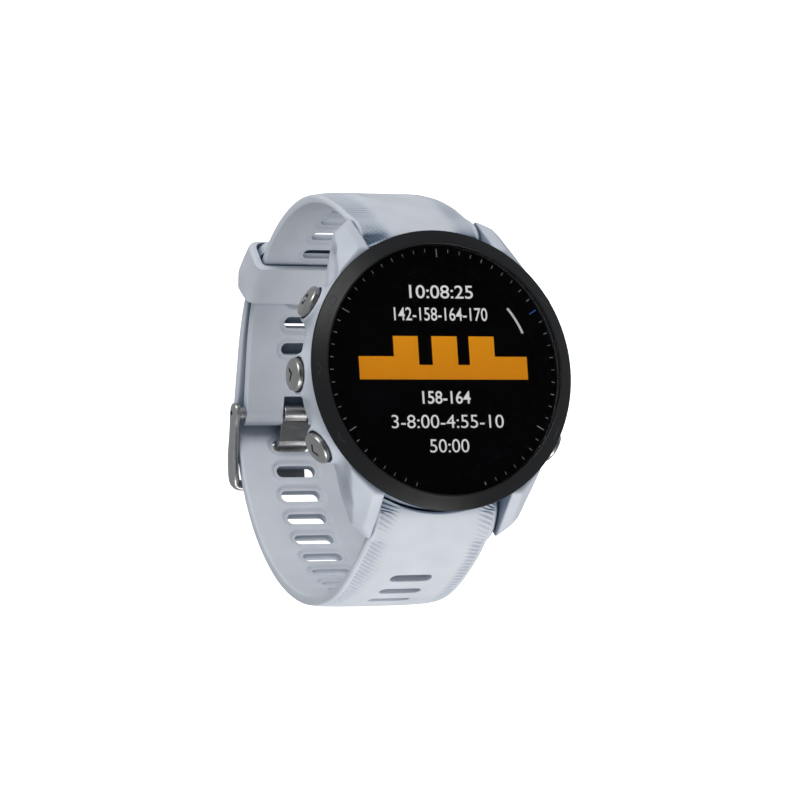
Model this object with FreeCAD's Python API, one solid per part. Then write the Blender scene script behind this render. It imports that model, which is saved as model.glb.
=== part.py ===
import FreeCAD, Part
import math
import os

# A running watch on its buckled strap, in millimetres.
# Frame: origin at the middle of the flat sensor window on the case back, +Z out of the dial,
# +Y towards 12 o'clock, +X towards 3 o'clock. The wrist goes through along X, below Z = 0.

V = FreeCAD.Vector
X_AXIS = V(1, 0, 0)
Z_AXIS = V(0, 0, 1)

# ---------------------------------------------------------------- driving dimensions
# case and bezel
CASE_RADIUS = 22.5
CASE_BOTTOM = 1.1
CASE_TOP = 12.2
CAVITY_RADIUS = 20.6
CASE_LEDGE_RADIUS = 19.0
BACK_SEAT = 2.4
BEZEL_RADIUS = 23.25
BEZEL_INNER_RADIUS = 20.75
BEZEL_TOP = 14.4
LENS_SEAT = 12.9
LENS_SEAT_RADIUS = 19.4
LENS_TOP = 13.95

# lugs and spring bars
LUG_INNER_X = 11.35
LUG_TIP_Y = 26.5
BAR_Y = 24.7
BAR_Z = 4.4
BAR_RADIUS = 0.9
BAR_HALF_LENGTH = 10.2
TIP_RADIUS = 0.6
TIP_END_X = 12.4
LUG_HOLE_DEPTH = 1.3

# buttons: clock-face angles measured from +X
BUTTON_ANGLES = (150, 180, 210, 30, -30)
BUTTON_Z = 8.0
BUTTON_CAP_RADIUS = 2.7
BUTTON_CAP_INNER = 22.95
BUTTON_CAP_RIM = 24.45
BUTTON_CAP_TOP = 25.0
BUTTON_STEM_RADIUS = 1.1
BUTTON_STEM_END = 18.9
POD_FACE = 23.6
POD_WELL_FLOOR = 22.2
POD_RADIUS = 3.6
POD_BASE_RADIUS = 5.2

# strap: the inner faces run on two circles, one for each half
STRAP_THICKNESS = 2.1
LAYER_GAP = 0.9
STRAP_HALF_WIDTH = 11.0
STRAP_HALF_WIDTH_LOW = 10.3
STRAP_HALF_WIDTH_PIN = 9.5
TAPER_START_Z = -2.0
TAPER_END_Z = -42.0
PIN_TAPER_END_Z = -52.0
UPPER_CENTRE = (0.57, -17.15)
UPPER_RADIUS = 32.42
UPPER_ARC_END = -69.0
UPPER_STRAIGHT = 13.0
LOWER_CENTRE = (1.45, -18.98)
LOWER_RADIUS = 34.56
LOWER_ARC_END = 255.0
BUCKLE_BEND_RADIUS = 6.0
TAIL_FIRST_SLOT = 7.3
TAIL_TIP_ANGLE = -32.0
STRAP_TOP_Z = 8.6
UPPER_END_CLEARANCE = 0.75
LOWER_END_CLEARANCE = 0.2
WING_Y = 19.0

# slots through the strap
SLOT_LENGTH = 7.4
SLOT_WIDTH = 2.1
UPPER_SLOT_FIRST = 20.3
UPPER_SLOT_STEP = 8.67
UPPER_SLOT_COUNT = 11
LOWER_SLOT_FIRST = 157.6
LOWER_SLOT_STEP = 8.1
LOWER_SLOT_COUNT = 13
SLOT_PITCH = 4.88

# buckle and keeper
PIN_Y = 2.89
PIN_Z = -52.11
PIN_RADIUS = 0.75
PIN_HALF_LENGTH = 11.3
STRAP_END_Y = 2.0
STRAP_END_Z = -52.45
STRAP_END_ROUND = 1.3
NOTCH_HALF_WIDTH = 2.5
FRAME_INNER_X = 10.5
FRAME_OUTER_X = 11.9
FAR_BAR_Y = -9.7
FAR_BAR_HALF_WIDTH = 1.0
FAR_BAR_TOP = -54.65
FAR_BAR_BOTTOM = -55.95
BARREL_RADIUS = 1.5
TONGUE_THICKNESS = 1.0
TONGUE_ROOT_HALF_WIDTH = 2.2
TONGUE_HALF_WIDTH = 3.1
KEEPER_ANGLE = -43.1
KEEPER_HALF_ANGLE = 7.3
KEEPER_HALF_WIDTH = 12.1
KEEPER_HOLLOW_HALF_WIDTH = 10.7
KEEPER_GAP = 0.3


# ---------------------------------------------------------------- small helpers
def save(name, shape):
    """Write one node as STEP."""
    shape.exportStep("parts/" + name + ".step")


def disc(radius, bottom, top, at_x=0.0, at_y=0.0):
    """Upright cylinder."""
    return Part.makeCylinder(radius, top - bottom, V(at_x, at_y, bottom), Z_AXIS)


def ring(inner, outer, bottom, top):
    """Upright ring of rectangular section."""
    return disc(outer, bottom, top).cut(disc(inner, bottom - 1, top + 1))


def box(x_low, x_high, y_low, y_high, z_low, z_high):
    """Box from its two corners."""
    return Part.makeBox(x_high - x_low, y_high - y_low, z_high - z_low, V(x_low, y_low, z_low))


def rod_x(radius, x_low, x_high, y, z):
    """Cylinder along X."""
    return Part.makeCylinder(radius, x_high - x_low, V(x_low, y, z), X_AXIS)


def turned(points):
    """Solid of revolution about Z from its (radius, height) outline."""
    outline = [V(radius, 0, height) for radius, height in points]
    outline.append(outline[0])
    face = Part.Face(Part.makePolygon(outline))
    return face.revolve(V(0, 0, 0), Z_AXIS, 360)


def plate_x(points, x_low, x_high):
    """Prism along X from its (y, z) outline."""
    outline = [V(x_low, y, z) for y, z in points]
    outline.append(outline[0])
    return Part.Face(Part.makePolygon(outline)).extrude(V(x_high - x_low, 0, 0))


def plate_z(points, z_low, z_high):
    """Prism along Z from its (x, y) outline."""
    outline = [V(x, y, z_low) for x, y in points]
    outline.append(outline[0])
    return Part.Face(Part.makePolygon(outline)).extrude(V(0, 0, z_high - z_low))


def outward(shape, angle):
    """Turn a shape that was made along +X to face out of the case at this angle."""
    turned_shape = shape.copy()
    turned_shape.rotate(V(0, 0, 0), Z_AXIS, angle)
    return turned_shape


def mirrored_y(shape):
    """The same shape at the other end of the case."""
    return shape.mirror(V(0, 0, 0), V(0, 1, 0))


def mirrored_x(shape):
    """The same shape on the other side of the case."""
    return shape.mirror(V(0, 0, 0), V(1, 0, 0))


def on_circle(centre, radius, degrees):
    """Point (y, z) on a circle in the strap's plane."""
    turn = math.radians(degrees)
    return centre[0] + radius * math.cos(turn), centre[1] + radius * math.sin(turn)


def arc_edge(centre, radius, start, end):
    """Arc in the YZ plane between two angles."""
    ends = [on_circle(centre, radius, angle) for angle in (start, 0.5 * (start + end), end)]
    return Part.Arc(*[V(0, y, z) for y, z in ends]).toShape()


def line_edge(start, end):
    """Straight edge in the YZ plane."""
    return Part.makeLine(V(0, start[0], start[1]), V(0, end[0], end[1]))


def prism_from_edges(edges, x_low, x_high):
    """Prism along X from closed edges that lie in the plane X = 0."""
    wire = Part.Wire(Part.__sortEdges__(edges))
    face = Part.Face(wire)
    face.translate(V(x_low, 0, 0))
    return face.extrude(V(x_high - x_low, 0, 0))


# ---------------------------------------------------------------- case
def lug():
    """The lug at +X, -Y: a faceted wedge that tapers to its tip."""
    side = plate_x(
        [(-12, 12.2), (-20.4, 12.2), (-LUG_TIP_Y, 5.3), (-26.3, 4.2), (-23.6, 1.9), (-18, 1.3), (-12, 1.3)],
        LUG_INNER_X, 20)
    plan = plate_z(
        [(LUG_INNER_X, -12), (LUG_INNER_X, -LUG_TIP_Y), (11.9, -26.2), (14.6, -24.0),
         (15.6, -18.5), (17.6, -12)],
        0, 13)
    hole = rod_x(TIP_RADIUS + 0.05, LUG_INNER_X - 1, LUG_INNER_X + LUG_HOLE_DEPTH, -BAR_Y, BAR_Z)
    return side.common(plan), hole


def pod():
    """Flared boss round one button, along +X."""
    reach = POD_FACE - CAVITY_RADIUS
    boss = Part.makeCone(POD_BASE_RADIUS, POD_RADIUS, reach, V(CAVITY_RADIUS, 0, BUTTON_Z), X_AXIS)
    boss = boss.common(box(18, 30, -9, 9, CASE_BOTTOM + 1, CASE_TOP))
    well = Part.makeCylinder(BUTTON_CAP_RADIUS + 0.15, 3, V(POD_WELL_FLOOR, 0, BUTTON_Z), X_AXIS)
    bore = Part.makeCylinder(BUTTON_STEM_RADIUS + 0.05, 6, V(18, 0, BUTTON_Z), X_AXIS)
    return boss, well.fuse(bore)


def screw_places():
    """Angles and places of the four case-back screws."""
    reach = 17.4
    places = []
    for angle in (45, 135, 225, 315):
        turn = math.radians(angle)
        places.append((angle, reach * math.cos(turn), reach * math.sin(turn)))
    return places


def case_shell():
    """White polymer mid-case with lugs, button pods and screw bosses."""
    shell = turned([(0, CASE_BOTTOM), (20.3, CASE_BOTTOM), (21.0, 2.0), (21.6, 4.0), (22.3, 6.2),
                    (CASE_RADIUS, 8.0), (22.6, CASE_TOP), (0, CASE_TOP)])
    wedge, hole = lug()
    wedges = [wedge, mirrored_x(wedge), mirrored_y(wedge), mirrored_x(mirrored_y(wedge))]
    holes = [hole, mirrored_x(hole), mirrored_y(hole), mirrored_x(mirrored_y(hole))]
    boss, well = pod()
    bosses = [outward(boss, angle) for angle in BUTTON_ANGLES]
    shell = shell.multiFuse(wedges + bosses)
    cavity = disc(CAVITY_RADIUS, 3.2, CASE_TOP + 5)
    back_seat = disc(19.9, 0, BACK_SEAT)
    back_way = disc(CASE_LEDGE_RADIUS, BACK_SEAT - 0.5, 4)
    shell = shell.cut(cavity.fuse(back_seat).fuse(back_way))
    pillars = []
    threads = []
    for angle, x, y in screw_places():
        rib = outward(box(18.6, 20.9, -0.8, 0.8, BACK_SEAT, 6.5), angle)
        pillars.append(disc(1.6, BACK_SEAT, 6.5, x, y).fuse(rib))
        threads.append(disc(0.62, 2, 5.6, x, y))
    shell = shell.multiFuse(pillars)
    wells = [outward(well, angle) for angle in BUTTON_ANGLES]
    return shell.cut(Part.makeCompound(wells + holes + threads)).removeSplitter()


def bezel():
    """Black steel bezel with a sloped face and a seat for the lens."""
    return turned([(LENS_SEAT_RADIUS, CASE_TOP), (22.5, CASE_TOP), (22.9, 12.45), (BEZEL_RADIUS, 12.95),
                   (23.2, 13.2), (21.3, 14.25), (20.95, BEZEL_TOP), (BEZEL_INNER_RADIUS, 14.3),
                   (BEZEL_INNER_RADIUS, LENS_SEAT), (LENS_SEAT_RADIUS, LENS_SEAT)])


def lens():
    """Chemically strengthened glass, chamfered at its edge."""
    radius = BEZEL_INNER_RADIUS - 0.1
    return turned([(0, LENS_SEAT + 0.15), (radius, LENS_SEAT + 0.15), (radius, LENS_TOP - 0.25),
                   (radius - 0.25, LENS_TOP), (0, LENS_TOP)])


def lens_gasket():
    """Adhesive gasket under the lens."""
    return ring(LENS_SEAT_RADIUS + 0.1, BEZEL_INNER_RADIUS - 0.15, LENS_SEAT, LENS_SEAT + 0.15)


def dial_ring():
    """Black ring between the display and the bezel, which carries the minute track."""
    return ring(16.7, 19.2, 11.6, LENS_SEAT)


def display_panel():
    """Round display panel."""
    return disc(16.5, 11.6, 12.8)


def display_bracket():
    """Magnesium plate that carries the display."""
    plate = disc(19.9, 10.95, 11.55)
    window = box(-4, 4, -15.5, -12.5, 10, 12)
    return plate.cut(window)


def antenna_ring():
    """Satellite antenna ring inside the case wall."""
    ring_body = ring(18.9, 20.3, 9.95, 10.85)
    feed_gap = box(-1.0, 1.0, -21, -18, 9, 12)
    return ring_body.cut(feed_gap)


def main_board():
    """Main circuit board with notches at the screw ribs."""
    board = disc(18.2, 9.7, 10.5)
    notches = [outward(box(17.2, 19, -1.5, 1.5, 9, 11), angle) for angle, _, _ in screw_places()]
    return board.cut(Part.makeCompound(notches))


def shield_cans():
    """Two tin shields over the chips, under the board."""
    return Part.makeCompound([box(-10, -0.5, -7, 6, 8.8, 9.65), box(0.8, 9.5, -5, 6, 8.9, 9.65)])


def side_switches():
    """Tactile switches, one behind each button."""
    switch = box(16.3, 18.0, -2.1, 2.1, 6.9, 9.65)
    return Part.makeCompound([outward(switch, angle) for angle in BUTTON_ANGLES])


def battery():
    """Lithium cell with rounded corners."""
    cell = box(-11.3, 11.3, -8.5, 9.6, 3.7, 8.5)
    return cell.makeFillet(1.2, [edge for edge in cell.Edges if abs(edge.tangentAt(0).z) > 0.9])


def battery_flex():
    """Flexible lead from the cell up to the board."""
    return box(11.4, 11.6, -2, 2, 5, 9.7)


def vibration_motor():
    """Coin motor that makes the watch vibrate."""
    return disc(3.8, 3.7, 6.7, 6.0, -13.1)


def buzzer():
    """Piezo sounder in a round case with its sound hole."""
    return disc(4.1, 3.7, 7.2, -5.6, -13.0).cut(disc(0.8, 3, 5.2, -5.6, -13.0))


def back_cover():
    """Polymer case back with a raised middle, the sensor opening and the charging port."""
    cover = turned([(8.35, 0.3), (11.3, 0.35), (14.0, CASE_BOTTOM), (19.3, CASE_BOTTOM), (19.8, 1.5),
                    (19.8, BACK_SEAT), (8.35, BACK_SEAT)])
    port = box(-4.1, 4.1, -17.3, -13.3, 0, 3)
    groove = ring(19.15, 19.65, 1.9, 3)
    heads = [disc(1.3, 0, 1.9, x, y).fuse(disc(0.65, 0, 3, x, y)) for _, x, y in screw_places()]
    return cover.cut(Part.makeCompound([port, groove] + heads))


def back_gasket():
    """Seal between the case back and the case."""
    return ring(19.2, 19.6, 1.95, BACK_SEAT)


def back_screws():
    """Four cross-slot screws in the case back."""
    screws = []
    for angle, x, y in screw_places():
        head = disc(1.25, 1.15, 1.85, x, y)
        shank = disc(0.6, 1.85, 5.4, x, y)
        across = box(x - 0.8, x + 0.8, y - 0.16, y + 0.16, 1, 1.45)
        along = box(x - 0.16, x + 0.16, y - 0.8, y + 0.8, 1, 1.45)
        screws.append(head.fuse(shank).cut(across.fuse(along)))
    return Part.makeCompound(screws)


def sensor_window():
    """Clear window of the pulse sensor, whose flat face rests on the wrist."""
    return turned([(0, 0), (7.4, 0), (8.25, 0.35), (8.25, 1.9), (0, 1.9)])


def sensor_board():
    """Round board of the pulse sensor."""
    return disc(7.9, 2.75, 3.35)


def sensor_leds():
    """Three light sources of the pulse sensor."""
    return Part.makeCompound([box(-0.8, 0.8, y - 0.7, y + 0.7, 2.0, 2.7) for y in (-3.2, 0.0, 3.2)])


def sensor_photodiodes():
    """Four light detectors round the sources."""
    return Part.makeCompound([box(x - 1.0, x + 1.0, y - 1.3, y + 1.3, 2.1, 2.7)
                              for x in (-3.9, 3.9) for y in (-2.2, 2.2)])


def charge_port():
    """Recessed socket for the charging plug."""
    body = box(-4.05, 4.05, -17.25, -13.35, 1.15, 3.2)
    recess = box(-3.5, 3.5, -16.7, -13.9, 1.0, 2.3)
    return body.cut(recess)


def charge_pins():
    """Four flat contacts in the charging socket."""
    return Part.makeCompound([disc(0.5, 2.0, 2.3, x, -15.3) for x in (-2.4, -0.8, 0.8, 2.4)])


# ---------------------------------------------------------------- buttons
def button(angle):
    """Domed steel cap and its stem, with a groove for the seal and one for the clip."""
    cap = Part.makeCylinder(BUTTON_CAP_RADIUS, BUTTON_CAP_RIM - BUTTON_CAP_INNER,
                            V(BUTTON_CAP_INNER, 0, BUTTON_Z), X_AXIS)
    dome = Part.makeCone(BUTTON_CAP_RADIUS, BUTTON_CAP_RADIUS - 0.9, BUTTON_CAP_TOP - BUTTON_CAP_RIM,
                         V(BUTTON_CAP_RIM, 0, BUTTON_Z), X_AXIS)
    stem = Part.makeCylinder(BUTTON_STEM_RADIUS, BUTTON_CAP_INNER - BUTTON_STEM_END,
                             V(BUTTON_STEM_END, 0, BUTTON_Z), X_AXIS)
    body = cap.multiFuse([dome, stem])
    for start, depth in ((21.0, 0.7), (19.85, 0.4)):
        outer = Part.makeCylinder(BUTTON_STEM_RADIUS + 1, depth, V(start, 0, BUTTON_Z), X_AXIS)
        core = Part.makeCylinder(BUTTON_STEM_RADIUS - 0.25, depth, V(start, 0, BUTTON_Z), X_AXIS)
        body = body.cut(outer.cut(core))
    return outward(body, angle)


def button_seal(angle):
    """Round seal in the stem's groove."""
    seal = Part.makeTorus(0.99, 0.13, V(21.35, 0, BUTTON_Z), X_AXIS)
    return outward(seal, angle)


def button_clip(angle):
    """Open retaining clip that stops the stem at the cavity wall."""
    clip = Part.makeCylinder(1.7, 0.35, V(19.88, 0, BUTTON_Z), X_AXIS)
    core = Part.makeCylinder(0.87, 2, V(19, 0, BUTTON_Z), X_AXIS)
    mouth = box(19, 21, -0.7, 0.7, BUTTON_Z - 3, BUTTON_Z)
    return outward(clip.cut(core.fuse(mouth)), angle)


# ---------------------------------------------------------------- strap
def end_block(centre, outer_radius, side):
    """Corner points of the thick end that fills the gap between the lugs.

    side is +1 at 12 o'clock and -1 at 6 o'clock. Returned from the top of the outer face
    along the case to the start of the inner face. It reaches past the case wall, so that
    case_wall() can then cut it to follow the case.
    """
    rise = STRAP_TOP_Z - centre[1]
    top_outer = centre[0] + side * math.sqrt(outer_radius ** 2 - rise ** 2)
    return [(top_outer, STRAP_TOP_Z), (side * WING_Y, STRAP_TOP_Z), (side * WING_Y, BAR_Z - 0.8),
            (side * (CASE_RADIUS + 1.1), BAR_Z - 1.9)]


def case_wall(clearance):
    """Cutter that keeps a strap end this far from the round case."""
    return disc(CASE_RADIUS + clearance, -5, 15)


def taper(half_width_at_end, end_z):
    """Outline that narrows a strap half towards the buckle."""
    right = [(STRAP_HALF_WIDTH, 20), (STRAP_HALF_WIDTH, TAPER_START_Z), (STRAP_HALF_WIDTH_LOW, TAPER_END_Z),
             (half_width_at_end, end_z), (half_width_at_end, -70)]
    points = right + [(-x, z) for x, z in reversed(right)]
    outline = [V(x, -60, z) for x, z in points]
    outline.append(outline[0])
    return Part.Face(Part.makePolygon(outline)).extrude(V(0, 120, 0))


def slot(centre, radius, degrees):
    """Cutter for one slot, along the strap's normal at this place on its circle."""
    half = 0.5 * (SLOT_LENGTH - SLOT_WIDTH)
    reach = 3.0
    low = radius - reach
    high = radius + STRAP_THICKNESS + reach
    middle = Part.makeBox(2 * half, SLOT_WIDTH, high - low, V(-half, -0.5 * SLOT_WIDTH, low))
    ends = [Part.makeCylinder(0.5 * SLOT_WIDTH, high - low, V(x, 0, low), Z_AXIS) for x in (-half, half)]
    cutter = middle.multiFuse(ends)
    cutter.rotate(V(0, 0, 0), X_AXIS, degrees - 90)
    cutter.translate(V(0, centre[0], centre[1]))
    return cutter


def straight_slot(y, z, slope):
    """Cutter for a slot through a straight stretch, whose inner face passes this point."""
    cutter = slot((0, 0), 0, 270)
    cutter.rotate(V(0, 0, 0), X_AXIS, slope)
    cutter.translate(V(0, y, z))
    return cutter


def shifted(point, direction, length):
    """Point moved along a direction."""
    return point[0] + direction[0] * length, point[1] + direction[1] * length


def upper_layer(offset):
    """Line of the upper half at this depth from its inner face: arc, then straight to the buckle."""
    radius = UPPER_RADIUS + offset
    corner = on_circle(UPPER_CENTRE, radius, UPPER_ARC_END)
    turn = math.radians(UPPER_ARC_END)
    heading = (math.sin(turn), -math.cos(turn))
    return radius, corner, heading


def upper_strap():
    """Short half of the strap, from the 12 o'clock lugs to the buckle pin."""
    inner_radius, inner_corner, heading = upper_layer(0)
    outer_radius, outer_corner, _ = upper_layer(STRAP_THICKNESS)
    block = end_block(UPPER_CENTRE, outer_radius, 1)
    inner_start_z = BAR_Z - 2.1
    inner_start = math.degrees(math.asin((inner_start_z - UPPER_CENTRE[1]) / inner_radius))
    outer_start = math.degrees(math.asin((STRAP_TOP_Z - UPPER_CENTRE[1]) / outer_radius))
    first_inner = on_circle(UPPER_CENTRE, inner_radius, inner_start)
    inner_end = shifted(inner_corner, heading, UPPER_STRAIGHT - 2.0)
    outer_end = shifted(outer_corner, heading, UPPER_STRAIGHT - 2.0)
    corners = block + [first_inner]
    edges = [line_edge(a, b) for a, b in zip(corners, corners[1:])]
    edges += [arc_edge(UPPER_CENTRE, inner_radius, inner_start, UPPER_ARC_END),
              line_edge(inner_corner, inner_end), line_edge(inner_end, outer_end),
              line_edge(outer_end, outer_corner),
              arc_edge(UPPER_CENTRE, outer_radius, UPPER_ARC_END, outer_start)]
    strap = prism_from_edges(edges, -STRAP_HALF_WIDTH, STRAP_HALF_WIDTH).common(
        taper(STRAP_HALF_WIDTH_PIN, PIN_TAPER_END_Z))
    round_end = rod_x(STRAP_END_ROUND, -STRAP_HALF_WIDTH_PIN, STRAP_HALF_WIDTH_PIN, STRAP_END_Y, STRAP_END_Z)
    strap = strap.fuse(round_end)
    slots = [slot(UPPER_CENTRE, UPPER_RADIUS, UPPER_SLOT_FIRST - UPPER_SLOT_STEP * k)
             for k in range(UPPER_SLOT_COUNT)]
    notch = box(-NOTCH_HALF_WIDTH, NOTCH_HALF_WIDTH, -3, PIN_Y + 2.3, -56, -49)
    pin_bore = rod_x(PIN_RADIUS, -15, 15, PIN_Y, PIN_Z)
    strap = strap.cut(Part.makeCompound(slots + [notch, pin_bore, case_wall(UPPER_END_CLEARANCE)]))
    return strap.cut(bar_space(1)).removeSplitter()


def tail_start():
    """Where the straight stretch of the tail meets its arc, and its heading to the buckle."""
    turn = math.radians(UPPER_ARC_END)
    heading = (math.sin(turn), -math.cos(turn))
    radius = UPPER_RADIUS + STRAP_THICKNESS + LAYER_GAP
    return radius, on_circle(UPPER_CENTRE, radius, UPPER_ARC_END), heading


def buckle_bend():
    """Rounded corner where the long half turns under the buckle pin.

    Returns the bend's centre, its two end angles, and the slopes' headings.
    """
    _, tail, tail_heading = tail_start()
    arc_end = on_circle(LOWER_CENTRE, LOWER_RADIUS, LOWER_ARC_END)
    turn = math.radians(LOWER_ARC_END)
    arc_heading = (-math.sin(turn), math.cos(turn))
    across = arc_heading[0] * tail_heading[1] - arc_heading[1] * tail_heading[0]
    gap = (tail[0] - arc_end[0], tail[1] - arc_end[1])
    run = (gap[0] * tail_heading[1] - gap[1] * tail_heading[0]) / across
    corner = shifted(arc_end, arc_heading, run)
    start_angle = LOWER_ARC_END
    end_angle = 360 + UPPER_ARC_END
    half_turn = math.radians(0.5 * (end_angle - start_angle))
    reach = BUCKLE_BEND_RADIUS * math.tan(half_turn)
    touch = shifted(corner, arc_heading, -reach)
    inward = (-math.cos(turn), -math.sin(turn))
    centre = shifted(touch, inward, BUCKLE_BEND_RADIUS)
    return centre, start_angle, end_angle


def lower_strap():
    """Long half, from the 6 o'clock lugs through the buckle and the keeper to its tip."""
    bend, bend_start, bend_end = buckle_bend()
    tail_radius, _, _ = tail_start()
    block = end_block(LOWER_CENTRE, LOWER_RADIUS + STRAP_THICKNESS, -1)
    lines = []
    for offset in (0.0, STRAP_THICKNESS):
        radius = LOWER_RADIUS + offset
        top = BAR_Z - 2.1 if offset == 0.0 else STRAP_TOP_Z
        start = 180 - math.degrees(math.asin((top - LOWER_CENTRE[1]) / radius))
        bend_radius = BUCKLE_BEND_RADIUS + offset
        ends = [on_circle(LOWER_CENTRE, radius, LOWER_ARC_END), on_circle(bend, bend_radius, bend_start),
                on_circle(bend, bend_radius, bend_end),
                on_circle(UPPER_CENTRE, tail_radius + offset, UPPER_ARC_END)]
        lines += [arc_edge(LOWER_CENTRE, radius, start, LOWER_ARC_END), line_edge(ends[0], ends[1]),
                  arc_edge(bend, bend_radius, bend_start, bend_end), line_edge(ends[2], ends[3]),
                  arc_edge(UPPER_CENTRE, tail_radius + offset, UPPER_ARC_END, TAIL_TIP_ANGLE)]
        if offset == 0.0:
            first_inner = on_circle(LOWER_CENTRE, radius, start)
    corners = block + [first_inner]
    lines += [line_edge(a, b) for a, b in zip(corners, corners[1:])]
    lines.append(line_edge(on_circle(UPPER_CENTRE, tail_radius, TAIL_TIP_ANGLE),
                           on_circle(UPPER_CENTRE, tail_radius + STRAP_THICKNESS, TAIL_TIP_ANGLE)))
    strap = prism_from_edges(lines, -STRAP_HALF_WIDTH, STRAP_HALF_WIDTH).common(
        taper(STRAP_HALF_WIDTH_LOW, -60))
    cutters = [slot(LOWER_CENTRE, LOWER_RADIUS, LOWER_SLOT_FIRST + LOWER_SLOT_STEP * k)
               for k in range(LOWER_SLOT_COUNT)]
    arc_end = on_circle(LOWER_CENTRE, LOWER_RADIUS, LOWER_ARC_END)
    turn = math.radians(LOWER_ARC_END)
    tongue_place = shifted(arc_end, (-math.sin(turn), math.cos(turn)), SLOT_PITCH)
    cutters.append(straight_slot(tongue_place[0], tongue_place[1], LOWER_ARC_END - 270))
    tail_step = math.degrees(SLOT_PITCH / tail_radius)
    first_slot = UPPER_ARC_END + TAIL_FIRST_SLOT
    cutters += [slot(UPPER_CENTRE, tail_radius, first_slot + tail_step * k) for k in range(4)]
    cutters.append(case_wall(LOWER_END_CLEARANCE))
    return strap.cut(Part.makeCompound(cutters)).cut(bar_space(-1)).removeSplitter()


def bar_space(side):
    """Bore and lever slot that a strap end needs for its spring bar."""
    bore = rod_x(BAR_RADIUS + 0.05, -15, 15, side * BAR_Y, BAR_Z)
    lever_way = box(5.2, 9.4, side * BAR_Y - 0.75, side * BAR_Y + 0.75, BAR_Z - 4, BAR_Z)
    return bore.fuse(lever_way)


def spring_bar(side):
    """Steel tube with a fixed tip at one end and a slotted bore for the release tip at the other."""
    tube = rod_x(BAR_RADIUS, -BAR_HALF_LENGTH, BAR_HALF_LENGTH, side * BAR_Y, BAR_Z)
    tip = rod_x(TIP_RADIUS, -TIP_END_X, -BAR_HALF_LENGTH, side * BAR_Y, BAR_Z)
    hollow = rod_x(TIP_RADIUS + 0.05, 0, 15, side * BAR_Y, BAR_Z)
    lever_way = box(5.2, 9.4, side * BAR_Y - 0.45, side * BAR_Y + 0.45, BAR_Z - 2, BAR_Z)
    return tube.fuse(tip).cut(hollow).cut(lever_way)


def release(side):
    """Sliding tip of a spring bar with its finger lever."""
    tip = rod_x(TIP_RADIUS, 5.0, TIP_END_X, side * BAR_Y, BAR_Z)
    stalk = box(7.3, 8.9, side * BAR_Y - 0.35, side * BAR_Y + 0.35, BAR_Z - 2.6, BAR_Z)
    knob = disc(0.6, BAR_Z - 3.1, BAR_Z - 2.5, 8.1, side * BAR_Y)
    return tip.multiFuse([stalk, knob])


def bar_spring(side):
    """Coil spring behind the sliding tip."""
    helix = Part.makeLongHelix(0.6, 4.2, 0.42)
    wire = Part.Wire([Part.makeCircle(0.11, V(0.42, 0, 0), V(0, 1, 0))])
    coil = Part.Wire(helix.Edges).makePipeShell([wire], True, True)
    coil.rotate(V(0, 0, 0), V(0, 1, 0), 90)
    coil.translate(V(0.4, side * BAR_Y, BAR_Z))
    return coil


# ---------------------------------------------------------------- buckle and keeper
def buckle_pin():
    """Steel pin pressed through the end of the short half."""
    return rod_x(PIN_RADIUS, -PIN_HALF_LENGTH, PIN_HALF_LENGTH, PIN_Y, PIN_Z)


def buckle_frame():
    """Steel frame: two curved arms from the pin to the far bar."""
    far = FAR_BAR_Y - FAR_BAR_HALF_WIDTH
    outline = [(PIN_Y + 1.4, PIN_Z + 0.8), (PIN_Y + 0.7, PIN_Z + 1.5), (PIN_Y - 0.7, PIN_Z + 1.5),
               (PIN_Y - 1.7, PIN_Z + 0.9), (0.2, -51.9), (-1.6, -52.9), (-4.0, -53.8), (-6.7, -54.2),
               (far + 1.3, -54.3), (far, FAR_BAR_TOP - 0.2), (far, FAR_BAR_BOTTOM + 0.4),
               (far + 0.4, FAR_BAR_BOTTOM), (-8.4, -56.05), (-6.7, -56.1), (-4.8, -55.85), (-3.2, -55.3),
               (-1.4, -54.5), (0.7, -53.85), (PIN_Y + 0.2, PIN_Z - 1.6), (PIN_Y + 1.4, PIN_Z - 0.8),
               (PIN_Y + 1.6, PIN_Z)]
    arm = plate_x(outline, FRAME_INNER_X, FRAME_OUTER_X)
    near = FAR_BAR_Y + FAR_BAR_HALF_WIDTH
    bar = plate_x([(far, FAR_BAR_TOP - 0.2), (far + 0.2, FAR_BAR_TOP), (near - 0.2, FAR_BAR_TOP),
                   (near, FAR_BAR_TOP - 0.2), (near, FAR_BAR_BOTTOM + 0.2), (near - 0.2, FAR_BAR_BOTTOM),
                   (far + 0.4, FAR_BAR_BOTTOM), (far, FAR_BAR_BOTTOM + 0.4)],
                  -FRAME_INNER_X - 0.1, FRAME_INNER_X + 0.1)
    bore = rod_x(PIN_RADIUS + 0.04, -15, 15, PIN_Y, PIN_Z)
    return arm.multiFuse([mirrored_x(arm), bar]).cut(bore).removeSplitter()


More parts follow.
